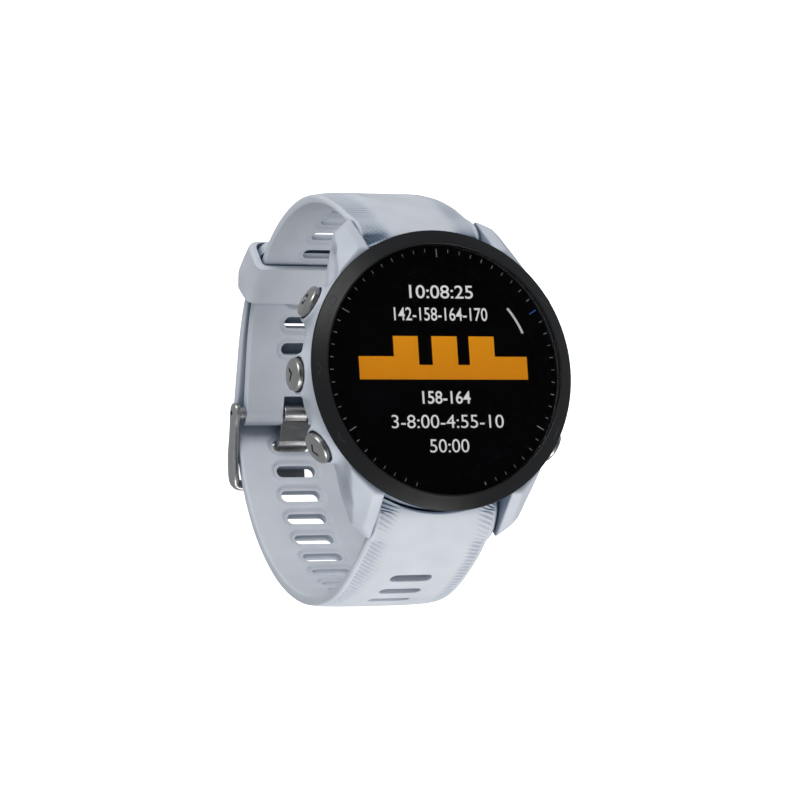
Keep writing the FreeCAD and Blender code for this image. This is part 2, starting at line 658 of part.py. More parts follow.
def tongue():
    """Steel tongue: a barrel on the pin and a cranked blade through the strap's slot."""
    barrel = rod_x(BARREL_RADIUS, -TONGUE_ROOT_HALF_WIDTH, TONGUE_ROOT_HALF_WIDTH, PIN_Y, PIN_Z)
    thick = TONGUE_THICKNESS
    resting = FAR_BAR_BOTTOM - 0.15
    tip = FAR_BAR_Y - FAR_BAR_HALF_WIDTH - 0.6
    upper_side = [(PIN_Y, PIN_Z + 0.55), (-2.2, -52.2), (-3.0, -52.6), (-3.65, -55.4), (-4.6, resting),
                  (tip, resting)]
    lower_side = [(tip + 0.2, resting - 0.8 * thick), (-4.5, resting - thick), (-2.75, -56.2),
                  (-2.1, -53.3), (-1.7, -53.15), (PIN_Y, PIN_Z - 0.55)]
    outline = upper_side + lower_side
    root = plate_x(outline, -TONGUE_ROOT_HALF_WIDTH, TONGUE_ROOT_HALF_WIDTH)
    wide = plate_x(outline, -TONGUE_HALF_WIDTH, TONGUE_HALF_WIDTH)
    wide = wide.common(box(-5, 5, -20, STRAP_END_Y - 2.6, -60, -50))
    bore = rod_x(PIN_RADIUS + 0.04, -15, 15, PIN_Y, PIN_Z)
    return barrel.multiFuse([root, wide]).cut(bore).removeSplitter()


def keeper():
    """Loop that holds both layers of the strap, with a ridge along its outer face."""
    hollow_low = UPPER_RADIUS - KEEPER_GAP
    hollow_high = UPPER_RADIUS + 2 * STRAP_THICKNESS + LAYER_GAP + KEEPER_GAP
    low = KEEPER_ANGLE - KEEPER_HALF_ANGLE
    high = KEEPER_ANGLE + KEEPER_HALF_ANGLE
    outline = [on_circle(UPPER_CENTRE, hollow_low - 1.1, low),
               on_circle(UPPER_CENTRE, hollow_high + 1.5, low),
               on_circle(UPPER_CENTRE, hollow_high + 1.9, KEEPER_ANGLE),
               on_circle(UPPER_CENTRE, hollow_high + 1.5, high),
               on_circle(UPPER_CENTRE, hollow_low - 1.1, high)]
    band = plate_x(outline, -KEEPER_HALF_WIDTH, KEEPER_HALF_WIDTH)
    edges = [arc_edge(UPPER_CENTRE, hollow_low, low - 5, high + 5),
             arc_edge(UPPER_CENTRE, hollow_high, low - 5, high + 5)]
    edges += [line_edge(on_circle(UPPER_CENTRE, hollow_low, angle),
                        on_circle(UPPER_CENTRE, hollow_high, angle))
              for angle in (low - 5, high + 5)]
    hollow = prism_from_edges(edges, -KEEPER_HOLLOW_HALF_WIDTH, KEEPER_HOLLOW_HALF_WIDTH)
    return band.cut(hollow)


def build():
    """Make every node and write it."""
    os.makedirs("parts", exist_ok=True)
    single = [case_shell, bezel, lens_gasket, lens, dial_ring, display_panel, display_bracket,
              antenna_ring, main_board, shield_cans, side_switches, battery, battery_flex,
              vibration_motor, buzzer, back_cover, back_gasket, back_screws, sensor_window,
              sensor_board, sensor_leds, sensor_photodiodes, charge_port, charge_pins,
              upper_strap, lower_strap, buckle_pin, buckle_frame, tongue, keeper]
    for make in single:
        save(make.__name__, make())
    for number, angle in enumerate(BUTTON_ANGLES, start=1):
        save(f"button_{number}", button(angle))
        save(f"button_seal_{number}", button_seal(angle))
        save(f"button_clip_{number}", button_clip(angle))
    for name, side in (("upper", 1), ("lower", -1)):
        save(f"{name}_bar", spring_bar(side))
        save(f"{name}_release", release(side))
        save(f"{name}_bar_spring", bar_spring(side))


build()
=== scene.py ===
import math
import bmesh
import bpy
import numpy as np
from mathutils import Matrix, Vector


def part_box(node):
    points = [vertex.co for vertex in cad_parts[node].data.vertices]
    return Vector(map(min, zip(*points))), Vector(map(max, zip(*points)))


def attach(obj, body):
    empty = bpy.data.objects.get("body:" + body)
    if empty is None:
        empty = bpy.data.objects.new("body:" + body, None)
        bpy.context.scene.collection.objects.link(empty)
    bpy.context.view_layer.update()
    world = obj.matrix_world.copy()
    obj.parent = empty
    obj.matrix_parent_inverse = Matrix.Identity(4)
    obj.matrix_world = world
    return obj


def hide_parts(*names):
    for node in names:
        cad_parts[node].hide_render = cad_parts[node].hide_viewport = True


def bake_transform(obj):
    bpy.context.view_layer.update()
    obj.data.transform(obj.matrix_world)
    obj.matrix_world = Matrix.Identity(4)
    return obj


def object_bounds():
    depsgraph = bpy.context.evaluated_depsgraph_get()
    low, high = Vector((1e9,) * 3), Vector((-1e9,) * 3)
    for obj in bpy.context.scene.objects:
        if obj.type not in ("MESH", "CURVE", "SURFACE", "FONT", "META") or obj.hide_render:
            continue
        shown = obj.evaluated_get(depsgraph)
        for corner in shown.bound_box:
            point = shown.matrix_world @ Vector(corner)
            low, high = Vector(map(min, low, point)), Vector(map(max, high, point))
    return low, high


# A running watch on its buckled strap. Every size below is in millimetres, and MM turns it into metres.
# Frame: +Z out of the dial, +Y towards 12 o'clock, +X towards 3 o'clock, wrist opening below Z = 0.

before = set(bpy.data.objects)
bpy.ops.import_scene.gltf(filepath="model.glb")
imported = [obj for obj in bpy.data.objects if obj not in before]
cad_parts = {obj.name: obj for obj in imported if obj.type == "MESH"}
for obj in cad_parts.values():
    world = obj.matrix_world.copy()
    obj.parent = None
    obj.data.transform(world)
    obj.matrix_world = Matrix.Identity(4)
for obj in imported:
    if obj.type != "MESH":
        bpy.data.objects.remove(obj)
cad_low, cad_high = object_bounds()
MM = 0.001


def node_box(node):
    """A CAD node's box at rest, in millimetres."""
    low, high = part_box(node)
    return np.array(low) / MM, np.array(high) / MM


# ---------------------------------------------------------------- sizes, from the frame where it has them
CASE_LOW, CASE_HIGH = node_box("case_shell")
BEZEL_LOW, BEZEL_HIGH = node_box("bezel")
LENS_LOW, LENS_HIGH = node_box("lens")
DISPLAY_LOW, DISPLAY_HIGH = node_box("display_panel")
BAR_LOW, BAR_HIGH = node_box("upper_bar")
CASE_BOTTOM = CASE_LOW[2]
CASE_TOP = CASE_HIGH[2]
CASE_RADIUS = 22.5
CAVITY_RADIUS = 20.6
BEZEL_RADIUS = BEZEL_HIGH[0]
LENS_RADIUS = LENS_HIGH[0]
LENS_TOP = LENS_HIGH[2]
LENS_BOTTOM = LENS_LOW[2]
DISPLAY_TOP = DISPLAY_HIGH[2]
DISPLAY_RADIUS = DISPLAY_HIGH[0]
LUG_INNER_X = 11.35
LUG_TIP_Y = 26.5
BAR_Y = 0.5 * (BAR_LOW[1] + BAR_HIGH[1])
BAR_Z = 0.5 * (BAR_LOW[2] + BAR_HIGH[2])

SLOPE_FOOT = (23.15, 13.25)     # (radius, z) at the ends of the bezel's slope
SLOPE_TOP = (21.3, 14.2)
PRINT_Z = LENS_BOTTOM + 0.005
SCREEN_Z = DISPLAY_TOP + 0.02
SCREEN_RELIEF = 0.02
LONG_MINUTES = (0, 10, 20, 40, 50)
BLUE_MINUTE = 10
BLANK_MINUTES = range(28, 33)

BUTTON_ANGLES = (150, 180, 210, 30, -30)
BUTTON_MARKS = ("ring", "up", "down", "play", "bar")
MARK_ANGLES = (149.4, 179.7, 210.2, 31.3, -29.1)    # of the same signs on the bezel
BUTTON_Z = 8.0
BUTTON_CAP_RADIUS = 2.7
BUTTON_CAP_INNER = 22.95
BUTTON_CAP_TOP = 25.0
BUTTON_DOME_RADIUS = 2.35
BUTTON_STEM_RADIUS = 1.1
BUTTON_STEM_END = 18.9

STRAP_THICKNESS = 2.1
LAYER_GAP = 0.9
STRAP_HALF_WIDTH = 11.0
STRAP_HALF_WIDTH_LOW = 10.3
STRAP_HALF_WIDTH_PIN = 9.5
TAPER_START_Z = -2.0
TAPER_END_Z = -42.0
PIN_TAPER_END_Z = -52.0
UPPER_CENTRE = (0.57, -17.15)
UPPER_RADIUS = 32.42
UPPER_ARC_END = -69.0
UPPER_STRAIGHT = 11.0
LOWER_CENTRE = (1.45, -18.98)
LOWER_RADIUS = 34.56
LOWER_ARC_END = 255.0
BUCKLE_BEND_RADIUS = 6.0
TAIL_TIP_ANGLE = -32.0
STRAP_TOP_Z = 8.6
UPPER_END_RADIUS = 23.25
LOWER_END_RADIUS = 22.68
FOOT_RADIUS = 21.5
SLOT_LENGTH = 7.4
SLOT_WIDTH = 2.1
SLOT_PITCH = 4.88
UPPER_SLOTS = [math.radians(20.3 - 8.67 * k) for k in range(11)]
LOWER_SLOTS = [math.radians(157.6 + 8.1 * k) for k in range(13)]
PIN_Y = 2.89
PIN_Z = -52.11
STRAP_END_Y = 2.0
STRAP_END_Z = -52.45
STRAP_END_ROUND = 1.3
NOTCH_HALF_WIDTH = 2.5
KEEPER_ANGLE = math.radians(-43.1)
KEEPER_HALF_ANGLE = math.radians(7.3)

EDGE_ROUND = 0.45       # outer edges of the strap
LIP_ROUND = 0.14        # slot edges on the outer face
INNER_LIP = 0.1         # slot edges on the inner face
PATCH_X = 5.0           # half size of the stretch of grid that bends round a slot
PATCH_S = 0.5 * SLOT_PITCH
SLOT_DISH = 1.5         # width of the shallow dish round a slot
TIP_LENGTH = 5.0        # rounded stretch at the tail's end
BAR_FOOT_Y = 25.9       # where the outer face is raised over the spring bar
BAR_TO_ROUTE = 2.3      # from there to the start of the strap's route
NOTCH_LENGTH = 3.6      # room for the tongue in the end of the short half
RIB_PITCH = 0.92
RIB_DEPTH = 0.26
RIB_START_Y = 23.0      # grooves are counted from here


# ---------------------------------------------------------------- mesh helpers
def link(piece):
    bpy.context.scene.collection.objects.link(piece)
    return piece


def finish_mesh(mesh, material, sharp_degrees):
    """Outward faces, smooth shading that breaks at sharp edges, and the material."""
    work = bmesh.new()
    work.from_mesh(mesh)
    bmesh.ops.remove_doubles(work, verts=work.verts, dist=2e-7)
    bmesh.ops.dissolve_degenerate(work, edges=work.edges, dist=1e-8)
    bmesh.ops.recalc_face_normals(work, faces=work.faces)
    work.to_mesh(mesh)
    work.free()
    mesh.shade_smooth()
    mesh.set_sharp_from_angle(angle=math.radians(sharp_degrees))
    mesh.materials.clear()
    mesh.materials.append(material)


def piece_from(name, points, faces, material, sharp_degrees=35):
    """New object from points in millimetres."""
    mesh = bpy.data.meshes.new(name)
    used = np.unique(np.concatenate([np.asarray(face).ravel() for face in faces]))
    renumber = np.zeros(len(points), int)
    renumber[used] = np.arange(len(used))
    mesh.from_pydata((np.asarray(points)[used] * MM).tolist(), [],
                     [renumber[np.asarray(face)].tolist() for face in faces])
    finish_mesh(mesh, material, sharp_degrees)
    return link(bpy.data.objects.new(name, mesh))


def rounded(corners, steps=4):
    """Closed outline whose corners (a, b, radius) are rounded off."""
    outline = []
    count = len(corners)
    for index, (a, b, radius) in enumerate(corners):
        here = np.array((a, b), float)
        before = np.array(corners[index - 1][:2], float) - here
        after = np.array(corners[(index + 1) % count][:2], float) - here
        long_before = np.linalg.norm(before)
        long_after = np.linalg.norm(after)
        if radius <= 0:
            outline.append(here)
            continue
        cosine = np.clip(before @ after / (long_before * long_after), -1, 1)
        half = 0.5 * math.acos(cosine)
        reach = min(radius / max(math.tan(half), 1e-3), 0.49 * long_before, 0.49 * long_after)
        start = here + before / long_before * reach
        end = here + after / long_after * reach
        for step in range(steps + 1):
            t = step / steps
            outline.append((1 - t) ** 2 * start + 2 * t * (1 - t) * here + t * t * end)
    return np.array(outline)


def grid_faces(rows, columns, rows_close=False, columns_close=True):
    """Quads between the points of a grid, which are numbered row by row."""
    number = np.arange(rows * columns).reshape(rows, columns)
    if rows_close:
        number = np.vstack([number, number[:1]])
    if columns_close:
        number = np.hstack([number, number[:, :1]])
    corners = (number[:-1, :-1], number[1:, :-1], number[1:, 1:], number[:-1, 1:])
    return np.stack(corners, axis=-1).reshape(-1, 4)


def lathe(name, outline, material, segments=192):
    """Solid of revolution about Z from a closed (radius, height) outline."""
    turns = np.linspace(0, 2 * math.pi, segments, endpoint=False)
    radius = np.maximum(outline[:, 0], 0)
    points = np.stack([np.outer(np.cos(turns), radius), np.outer(np.sin(turns), radius),
                       np.tile(outline[:, 1], (segments, 1))], axis=-1)
    faces = grid_faces(segments, len(outline), rows_close=True)
    return piece_from(name, points.reshape(-1, 3), faces, material)


def tube(name, rings, material):
    """Rod through rings of points, with closed ends."""
    count, around = rings.shape[:2]
    number = np.arange(count * around).reshape(count, around)
    faces = grid_faces(count, around).tolist() + [number[0].tolist(), number[-1][::-1].tolist()]
    return piece_from(name, rings.reshape(-1, 3), faces, material, 60)


def slab(name, first, second, material):
    """Closed piece between two matching outlines."""
    count = len(first)
    faces = [list(range(count)), list(range(2 * count - 1, count - 1, -1))]
    faces += [[k, (k + 1) % count, count + (k + 1) % count, count + k] for k in range(count)]
    return piece_from(name, np.array(first + second), faces, material)


def flat_patch(name, outline, z, thickness, material):
    """Thin plate from a closed (x, y) outline."""
    first, second = ([(x, y, level) for x, y in outline] for level in (z, z + thickness))
    return slab(name, first, second, material)


def joined(name, pieces):
    """Several meshes as one object."""
    merged = bmesh.new()
    for piece in pieces:
        piece.data.transform(piece.matrix_world)
        merged.from_mesh(piece.data)
    mesh = bpy.data.meshes.new(name)
    merged.to_mesh(mesh)
    merged.free()
    mesh.materials.append(pieces[0].data.materials[0])
    for piece in pieces:
        bpy.data.objects.remove(piece)
    return link(bpy.data.objects.new(name, mesh))


def mesh_of(curve, name):
    """Mesh of a text or curve, which is then gone."""
    holder = link(bpy.data.objects.new(name, curve))
    bpy.context.view_layer.update()
    mesh = bpy.data.meshes.new_from_object(holder)
    bpy.data.objects.remove(holder)
    return mesh


def smooth_max(a, b, width):
    """Larger of two values, with the change from one to the other rounded off."""
    share = np.clip(0.5 + 0.5 * (a - b) / width, 0, 1)
    return b + (a - b) * share + width * share * (1 - share)


def smooth_min(a, b, width):
    """Smaller of two values, rounded off in the same way."""
    return -smooth_max(-a, -b, width)


def fade(value, low, high):
    """Smooth step from 0 at low to 1 at high."""
    t = np.clip((value - low) / (high - low), 0, 1)
    return t * t * (3 - 2 * t)


# ---------------------------------------------------------------- materials
def new_material(name, colour, roughness, metallic=0.0, specular=0.5):
    material = bpy.data.materials.new(name)
    material.use_nodes = True
    shader = material.node_tree.nodes["Principled BSDF"]
    shader.inputs["Base Color"].default_value = (*colour, 1)
    shader.inputs["Roughness"].default_value = roughness
    shader.inputs["Metallic"].default_value = metallic
    shader.inputs["Specular IOR Level"].default_value = specular
    return material


def shader_of(material):
    return material.node_tree.nodes["Principled BSDF"]


def add_node(tree, kind, **inputs):
    """New shader node with these inputs. An underscore in a name stands for a space."""
    node = tree.nodes.new("ShaderNode" + kind)
    for name, value in inputs.items():
        node.inputs[name.replace("_", " ")].default_value = value
    return node


def wire(source, output, target, socket):
    """Link one node's output to another's input."""
    source.id_data.links.new(source.outputs[output], target.inputs[socket])


def add_ramp(tree, source, output, first, second, low=0.0, high=1.0):
    """Colours over a source's output, from the first at low to the second at high."""
    ramp = add_node(tree, "ValToRGB")
    for element, position, colour in zip(ramp.color_ramp.elements, (low, high), (first, second)):
        element.position = position
        element.color = (*colour, 1)
    wire(source, output, ramp, "Fac")
    return ramp


def add_noise(material, size, stretch=(1, 1, 1), detail=4.0):
    """Noise whose features are about this many millimetres long. Returns its node."""
    tree = material.node_tree
    place = add_node(tree, "TexCoord")
    mapping = add_node(tree, "Mapping", Scale=stretch)
    noise = add_node(tree, "TexNoise", Scale=1 / (size * MM), Detail=detail)
    wire(place, "Object", mapping, "Vector")
    wire(mapping, "Vector", noise, "Vector")
    return noise


def vary_colour(material, noise, colour, spread):
    """Colour that wanders this share to either side."""
    dark, light = ([min(c * share, 1) for c in colour] for share in (1 - spread, 1 + spread))
    ramp = add_ramp(material.node_tree, noise, "Fac", dark, light, 0.3, 0.7)
    wire(ramp, "Color", shader_of(material), "Base Color")


def vary_roughness(material, noise, low, high):
    """Roughness that wanders between two values."""
    spread = add_node(material.node_tree, "MapRange", From_Min=0.3, From_Max=0.7, To_Min=low, To_Max=high)
    wire(noise, "Fac", spread, "Value")
    wire(spread, "Result", shader_of(material), "Roughness")


def add_bump(material, noise, depth):
    """Relief of this depth in millimetres."""
    bump = add_node(material.node_tree, "Bump", Distance=depth * MM)
    wire(noise, "Fac", bump, "Height")
    wire(bump, "Normal", shader_of(material), "Normal")


def shade_hollows(material, shade_tint, reach, low=0.15, high=0.9):
    """Painted shade: the base colour darkens towards a tint where ambient occlusion finds hollows and seams
    within this many millimetres.
    """
    tree = material.node_tree
    shader = shader_of(material)
    plain = shader.inputs["Base Color"].links[0].from_socket
    hollow = add_node(tree, "AmbientOcclusion", Distance=reach * MM)
    hollow.samples = 6
    mix = add_node(tree, "Mix")
    mix.data_type = "RGBA"
    mix.inputs[6].default_value = (*shade_tint, 1)
    spread = add_node(tree, "MapRange", From_Min=low, From_Max=high)
    wire(hollow, "AO", spread, "Value")
    tree.links.new(plain, mix.inputs[7])
    wire(spread, "Result", mix, 0)
    wire(mix, 2, shader, "Base Color")


def moulded(name, colour, roughness, grain=0.12, depth=0.006, specular=0.4):
    """Moulded polymer or rubber: faint cloudiness, uneven gloss and a fine grain."""
    material = new_material(name, colour, roughness, specular=specular)
    cloud = add_noise(material, 6.0)
    vary_colour(material, cloud, colour, 0.05)
    vary_roughness(material, cloud, roughness - 0.06, roughness + 0.06)
    add_bump(material, add_noise(material, grain, detail=2.0), depth)
    return material


def brushed(name, colour, roughness, stretch, size=0.5, depth=0.004, spread=0.12):
    """Metal with fine lines along the axis whose stretch is small."""
    material = new_material(name, colour, roughness, metallic=1.0)
    lines = add_noise(material, size, stretch)
    vary_colour(material, lines, colour, spread)
    vary_roughness(material, lines, roughness - 0.08, roughness + 0.10)
    add_bump(material, lines, depth)
    return material


silicone = moulded("strap_silicone", (0.655, 0.678, 0.722), 0.58, specular=0.3)
case_white = moulded("case_polymer", (0.615, 0.645, 0.705), 0.42, grain=0.1, depth=0.004)
# Painted shade: the case and the strap darken towards blue-grey in hollows and seams. The strap's second,
# shorter pass also darkens its rib valleys and slot edges.
for pale in (silicone, case_white):
    shade_hollows(pale, (0.13, 0.19, 0.28), 4.6)
shade_hollows(silicone, (0.22, 0.29, 0.38), 0.8, 0.35, 0.97)
back_white = moulded("back_polymer", (0.50, 0.53, 0.58), 0.5, grain=0.15)
bezel_black = moulded("bezel_steel", (0.010, 0.010, 0.0105), 0.34, grain=0.05, depth=0.002, specular=0.2)
mark_grey = moulded("bezel_mark", (0.035, 0.035, 0.036), 0.5, grain=0.05, depth=0.002)
print_black = moulded("dial_black", (0.003, 0.003, 0.004), 0.8, grain=0.3, depth=0.001, specular=0.0)
display_black = moulded("display_black", (0.003, 0.003, 0.004), 0.8, grain=0.3, depth=0.001, specular=0.0)
tick_grey = moulded("tick_print", (0.30, 0.30, 0.31), 0.6, grain=0.1, depth=0.001)
tick_blue = moulded("tick_blue_print", (0.05, 0.22, 0.55), 0.6, grain=0.1, depth=0.001)
seal_black = moulded("seal_rubber", (0.02, 0.02, 0.022), 0.7)
port_black = moulded("port_black", (0.02, 0.02, 0.022), 0.45)
photodiode_black = moulded("photodiode_black", (0.01, 0.01, 0.015), 0.25)
buzzer_black = moulded("buzzer_black", (0.03, 0.03, 0.03), 0.5)
board_green = moulded("circuit_board", (0.01, 0.09, 0.05), 0.4, grain=0.5, depth=0.01)
flex_film = moulded("flex_film", (0.35, 0.16, 0.03), 0.4)
led_clear = moulded("led_clear", (0.55, 0.75, 0.55), 0.2)
button_steel = brushed("button_steel", (0.40, 0.39, 0.375), 0.34, (1, 1, 14), size=1.2)
button_mark = brushed("button_mark", (0.02, 0.018, 0.017), 0.5, (1, 1, 1), size=0.3)
buckle_steel = brushed("buckle_steel", (0.45, 0.44, 0.43), 0.36, (0.08, 1, 1), size=0.2, depth=0.002,
                       spread=0.05)
bar_steel = brushed("bar_steel", (0.30, 0.30, 0.30), 0.28, (0.1, 1, 1), size=0.3)
screw_steel = brushed("screw_steel", (0.50, 0.50, 0.50), 0.32, (1, 1, 1), size=0.3)
spring_steel = brushed("spring_steel", (0.45, 0.45, 0.46), 0.3, (1, 1, 1), size=0.2)
bracket_metal = brushed("bracket_metal", (0.42, 0.43, 0.45), 0.4, (0.1, 1, 1), size=0.5)
tin_shield = brushed("tin_shield", (0.60, 0.60, 0.58), 0.35, (1, 0.1, 1), size=0.5)
switch_metal = brushed("switch_metal", (0.60, 0.58, 0.52), 0.35, (1, 1, 1), size=0.3)
cell_foil = brushed("cell_foil", (0.65, 0.66, 0.68), 0.45, (1, 1, 1), size=2.0)
antenna_copper = brushed("antenna_copper", (0.80, 0.42, 0.25), 0.35, (1, 1, 1), size=0.4)
contact_gold = brushed("contact_gold", (0.85, 0.62, 0.28), 0.25, (1, 1, 1), size=0.3)


def lit(name, colour, strength, second=None, low=0.0, high=1.0):
    """Display pixels: coloured, with a glow that is partly the screen's own light and partly painted light,
    standing in for the lamps' light through the glass. second makes a ramp along Y, a painted sheen that
    brightens towards 12 o'clock.
    """
    material = moulded(name, colour, 0.5, grain=0.1, depth=0.0005)
    tree = material.node_tree
    shader_of(material).inputs["Emission Strength"].default_value = strength
    place = add_node(tree, "TexCoord")
    split = add_node(tree, "SeparateXYZ")
    spread = add_node(tree, "MapRange", From_Min=low * MM, From_Max=high * MM)
    wire(place, "Object", split, "Vector")
    wire(split, "Y", spread, "Value")
    ramp = add_ramp(tree, spread, "Result", second or colour, colour)
    wire(ramp, "Color", shader_of(material), "Emission Color")
    return material


lens_glass = new_material("lens_glass", (1.0, 1.0, 1.0), 0.0)
shader_of(lens_glass).inputs["Transmission Weight"].default_value = 1.0
shader_of(lens_glass).inputs["IOR"].default_value = 1.5
vary_roughness(lens_glass, add_noise(lens_glass, 8.0), 0.0, 0.004)
sensor_glass = new_material("sensor_glass", (0.008, 0.008, 0.01), 0.12)
vary_roughness(sensor_glass, add_noise(sensor_glass, 3.0), 0.08, 0.16)
# Painted sheen: the white and orange pixels glow brighter towards 12 o'clock.
pixel_white = lit("pixel_white", (0.50, 0.50, 0.50), 0.85, (0.44, 0.44, 0.44), -14, 14)
pixel_orange = lit("pixel_orange", (0.50, 0.185, 0.0), 0.85, (0.40, 0.13, 0.0), -1.6, 5.5)
pixel_grey = lit("pixel_grey", (0.36, 0.36, 0.36), 0.8)

# The looks of the CAD bodies that no piece replaces.
CAD_LOOKS = (
    (bracket_metal, "display_bracket"),
    (antenna_copper, "antenna_ring"),
    (board_green, "main_board sensor_board"),
    (tin_shield, "shield_cans"),
    (switch_metal, "side_switches vibration_motor"),
    (cell_foil, "battery"),
    (flex_film, "battery_flex"),
    (buzzer_black, "buzzer"),
    (back_white, "back_cover"),
    (seal_black, "back_gasket lens_gasket"),
    (seal_black, "button_seal_1 button_seal_2 button_seal_3 button_seal_4 button_seal_5"),
    (screw_steel, "back_screws"),
    (sensor_glass, "sensor_window"),
    (led_clear, "sensor_leds"),
    (photodiode_black, "sensor_photodiodes"),
    (port_black, "charge_port"),
    (contact_gold, "charge_pins"),
    (print_black, "dial_ring"),
    (display_black, "display_panel"),
    (bar_steel, "buckle_pin upper_bar lower_bar upper_release lower_release"),
    (spring_steel, "button_clip_1 button_clip_2 button_clip_3 button_clip_4 button_clip_5"),
)
for material, nodes in CAD_LOOKS:
    for node in nodes.split():
        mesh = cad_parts[node].data
        mesh.materials.clear()
        mesh.materials.append(material)


# ---------------------------------------------------------------- strap
def on_circle(centre, radius, turn):
    """Point (y, z) on a circle."""
    return np.array((centre[0] + radius * math.cos(turn), centre[1] + radius * math.sin(turn)))


class Route:
    """Line of a strap's inner face in the (y, z) plane, made of arcs and straights."""

    def __init__(self):
        self.parts = []
        self.length = 0.0

    def arc(self, centre, radius, start, end):
        run = radius * abs(end - start)
        self.parts.append((self.length, run, "arc", (np.array(centre), radius, start, end)))
        self.length += run

    def line(self, start, end, outward):
        run = float(np.linalg.norm(end - start))
        self.parts.append((self.length, run, "line", (start, end, outward)))
        self.length += run

    def at(self, distance):
        """Point on the inner face and outward normal at this distance along it."""
        for start, run, kind, facts in self.parts:
            if distance <= start + run + 1e-9:
                break
        t = (distance - start) / run
        if kind == "line":
            first, last, outward = facts
            return first + (last - first) * t, outward
        centre, radius, first, last = facts
        turn = first + (last - first) * t
        outward = np.array((math.cos(turn), math.sin(turn)))
        return centre + radius * outward, outward


def half_width(z, at_pin):
    """Half of the strap's width at this height, narrower towards the pin."""
    heights = (PIN_TAPER_END_Z, TAPER_END_Z, TAPER_START_Z)
    last = STRAP_HALF_WIDTH_PIN if at_pin else STRAP_HALF_WIDTH_LOW
    return np.interp(z, heights, (last, STRAP_HALF_WIDTH_LOW, STRAP_HALF_WIDTH))


def round_over(radius, distance):
    """How far an edge of this radius lies below its face, at this distance inside the edge."""
    return radius - np.sqrt(np.maximum(radius ** 2 - np.maximum(radius - distance, 0) ** 2, 0))


def across_positions(width):
    """X of every line across a strap of this half width: close together beside the slots and the edges."""
    inner = np.array([0, 0.62, 1.24, 1.86, 2.5, 3.1, 3.7, 3.74, 3.8, 3.9, 4.08, 4.35, 4.65, PATCH_X])
    shoulder = np.linspace(PATCH_X, width - EDGE_ROUND, 60)[1:]
    turns = np.linspace(0, 0.5 * math.pi, 5)[1:]
    edge = width - EDGE_ROUND + EDGE_ROUND * np.sin(turns)
    half = np.concatenate([inner, shoulder, edge])
    return np.concatenate([-half[:0:-1], half])


def slot_distance(x, s):
    """Distance outside a slot's round-ended outline."""
    half = 0.5 * (SLOT_LENGTH - SLOT_WIDTH)
    return np.hypot(np.maximum(np.abs(x) - half, 0), s) - 0.5 * SLOT_WIDTH


def warp_slot(x, s):
    """Move grid points round a slot so that its square-cornered hole gets round ends."""
    long_hole = 0.5 * SLOT_LENGTH
    wide_hole = 0.5 * SLOT_WIDTH
    half = long_hole - wide_hole
    reach = np.hypot(x, s)
    safe = np.maximum(reach, 1e-9)
    dx = np.abs(x) / safe
    ds = np.abs(s) / safe
    to_square = np.minimum(long_hole / np.maximum(dx, 1e-9), wide_hole / np.maximum(ds, 1e-9))
    to_patch = np.minimum(PATCH_X / np.maximum(dx, 1e-9), PATCH_S / np.maximum(ds, 1e-9))
    along = dx * half
    root = np.sqrt(np.maximum(along ** 2 - half ** 2 + wide_hole ** 2, 0))
    to_round = np.where(wide_hole * dx <= half * ds, wide_hole / np.maximum(ds, 1e-9), along + root)
    t = np.clip((reach - to_square) / np.maximum(to_patch - to_square, 1e-9), 0, 1)
    wanted = to_round + t * (to_patch - to_round)
    inside = (np.abs(x) < PATCH_X - 1e-6) & (np.abs(s) < PATCH_S - 1e-6) & (reach > 1e-6)
    scale = np.where(inside, wanted / safe, 1.0)
    return x * scale, s * scale


def along_lines(length, slots, fine_until):
    """Lines along the strap, with extra ones at every slot and fine steps where there are grooves."""
    fine = 0.1
    coarse = 0.62
    shortest = 0.03
    fixed = {0.0, length}
    offsets = list(np.linspace(-0.5 * SLOT_WIDTH, 0.5 * SLOT_WIDTH, 9))
    offsets += [side * value for side in (-1, 1) for value in (1.09, 1.15, 1.25, 1.43, 1.7, 2.05, PATCH_S)]
    for place in slots:
        fixed.update(place + offset for offset in offsets)
    fixed = sorted(value for value in fixed if -1e-9 <= value <= length + 1e-9)
    lines = [fixed[0]]
    for value in fixed[1:]:
        first = lines[-1]
        gap = value - first
        if gap < shortest:
            continue
        pieces = max(1, math.ceil(gap / (fine if first < fine_until else coarse) - 1e-6))
        lines += [first + gap * k / pieces for k in range(1, pieces + 1)]
    return np.array(lines)


def near_bar(distance):
    """1 over the spring bar, 0 a few millimetres away."""
    return np.exp(-(distance / 2.0) ** 2)


def shoulder_drop(x, width, blend, over_bar):
    """How far the outer face lies below the full thickness: crowned middle and sloping shoulders."""
    crown = 0.08 * (np.abs(x) / 7.0) ** 2 * (1 - 0.6 * over_bar)
    crease = width - 1.6 - 2.6 * blend
    slope = 0.11 + 0.13 * blend - 0.17 * over_bar
    past = np.abs(x) - crease
    return crown + slope * 0.5 * (past + np.sqrt(past ** 2 + 0.25))


def rib_depth(x, width, phase, strength):
    """Fine grooves over the shoulders. Deeper ones reach further in."""
    inset = width - np.abs(x)
    wide = np.sqrt(np.maximum(strength, 0.3))
    reach = fade(inset, 0.55, 1.1) * (1 - fade(inset, 2.0 * wide, 4.3 * wide))
    wave = 0.5 - 0.5 * np.cos(2 * math.pi * phase)
    return RIB_DEPTH * strength * reach * wave


def pin_rows(route, x):
    """Rows that close the short half's end round the buckle pin."""
    outward = route.at(route.length)[1]
    heading = np.array((outward[1], -outward[0]))
    centre = np.array((STRAP_END_Y, STRAP_END_Z))
    for turn in np.linspace(0.5 * math.pi, 0, 9)[1:]:
        up = STRAP_END_ROUND * math.sin(turn) * outward
        out = STRAP_END_ROUND * math.cos(turn) * heading
        yield [np.column_stack([x, np.tile(centre + out + side * up, (len(x), 1))]) for side in (1, -1)]


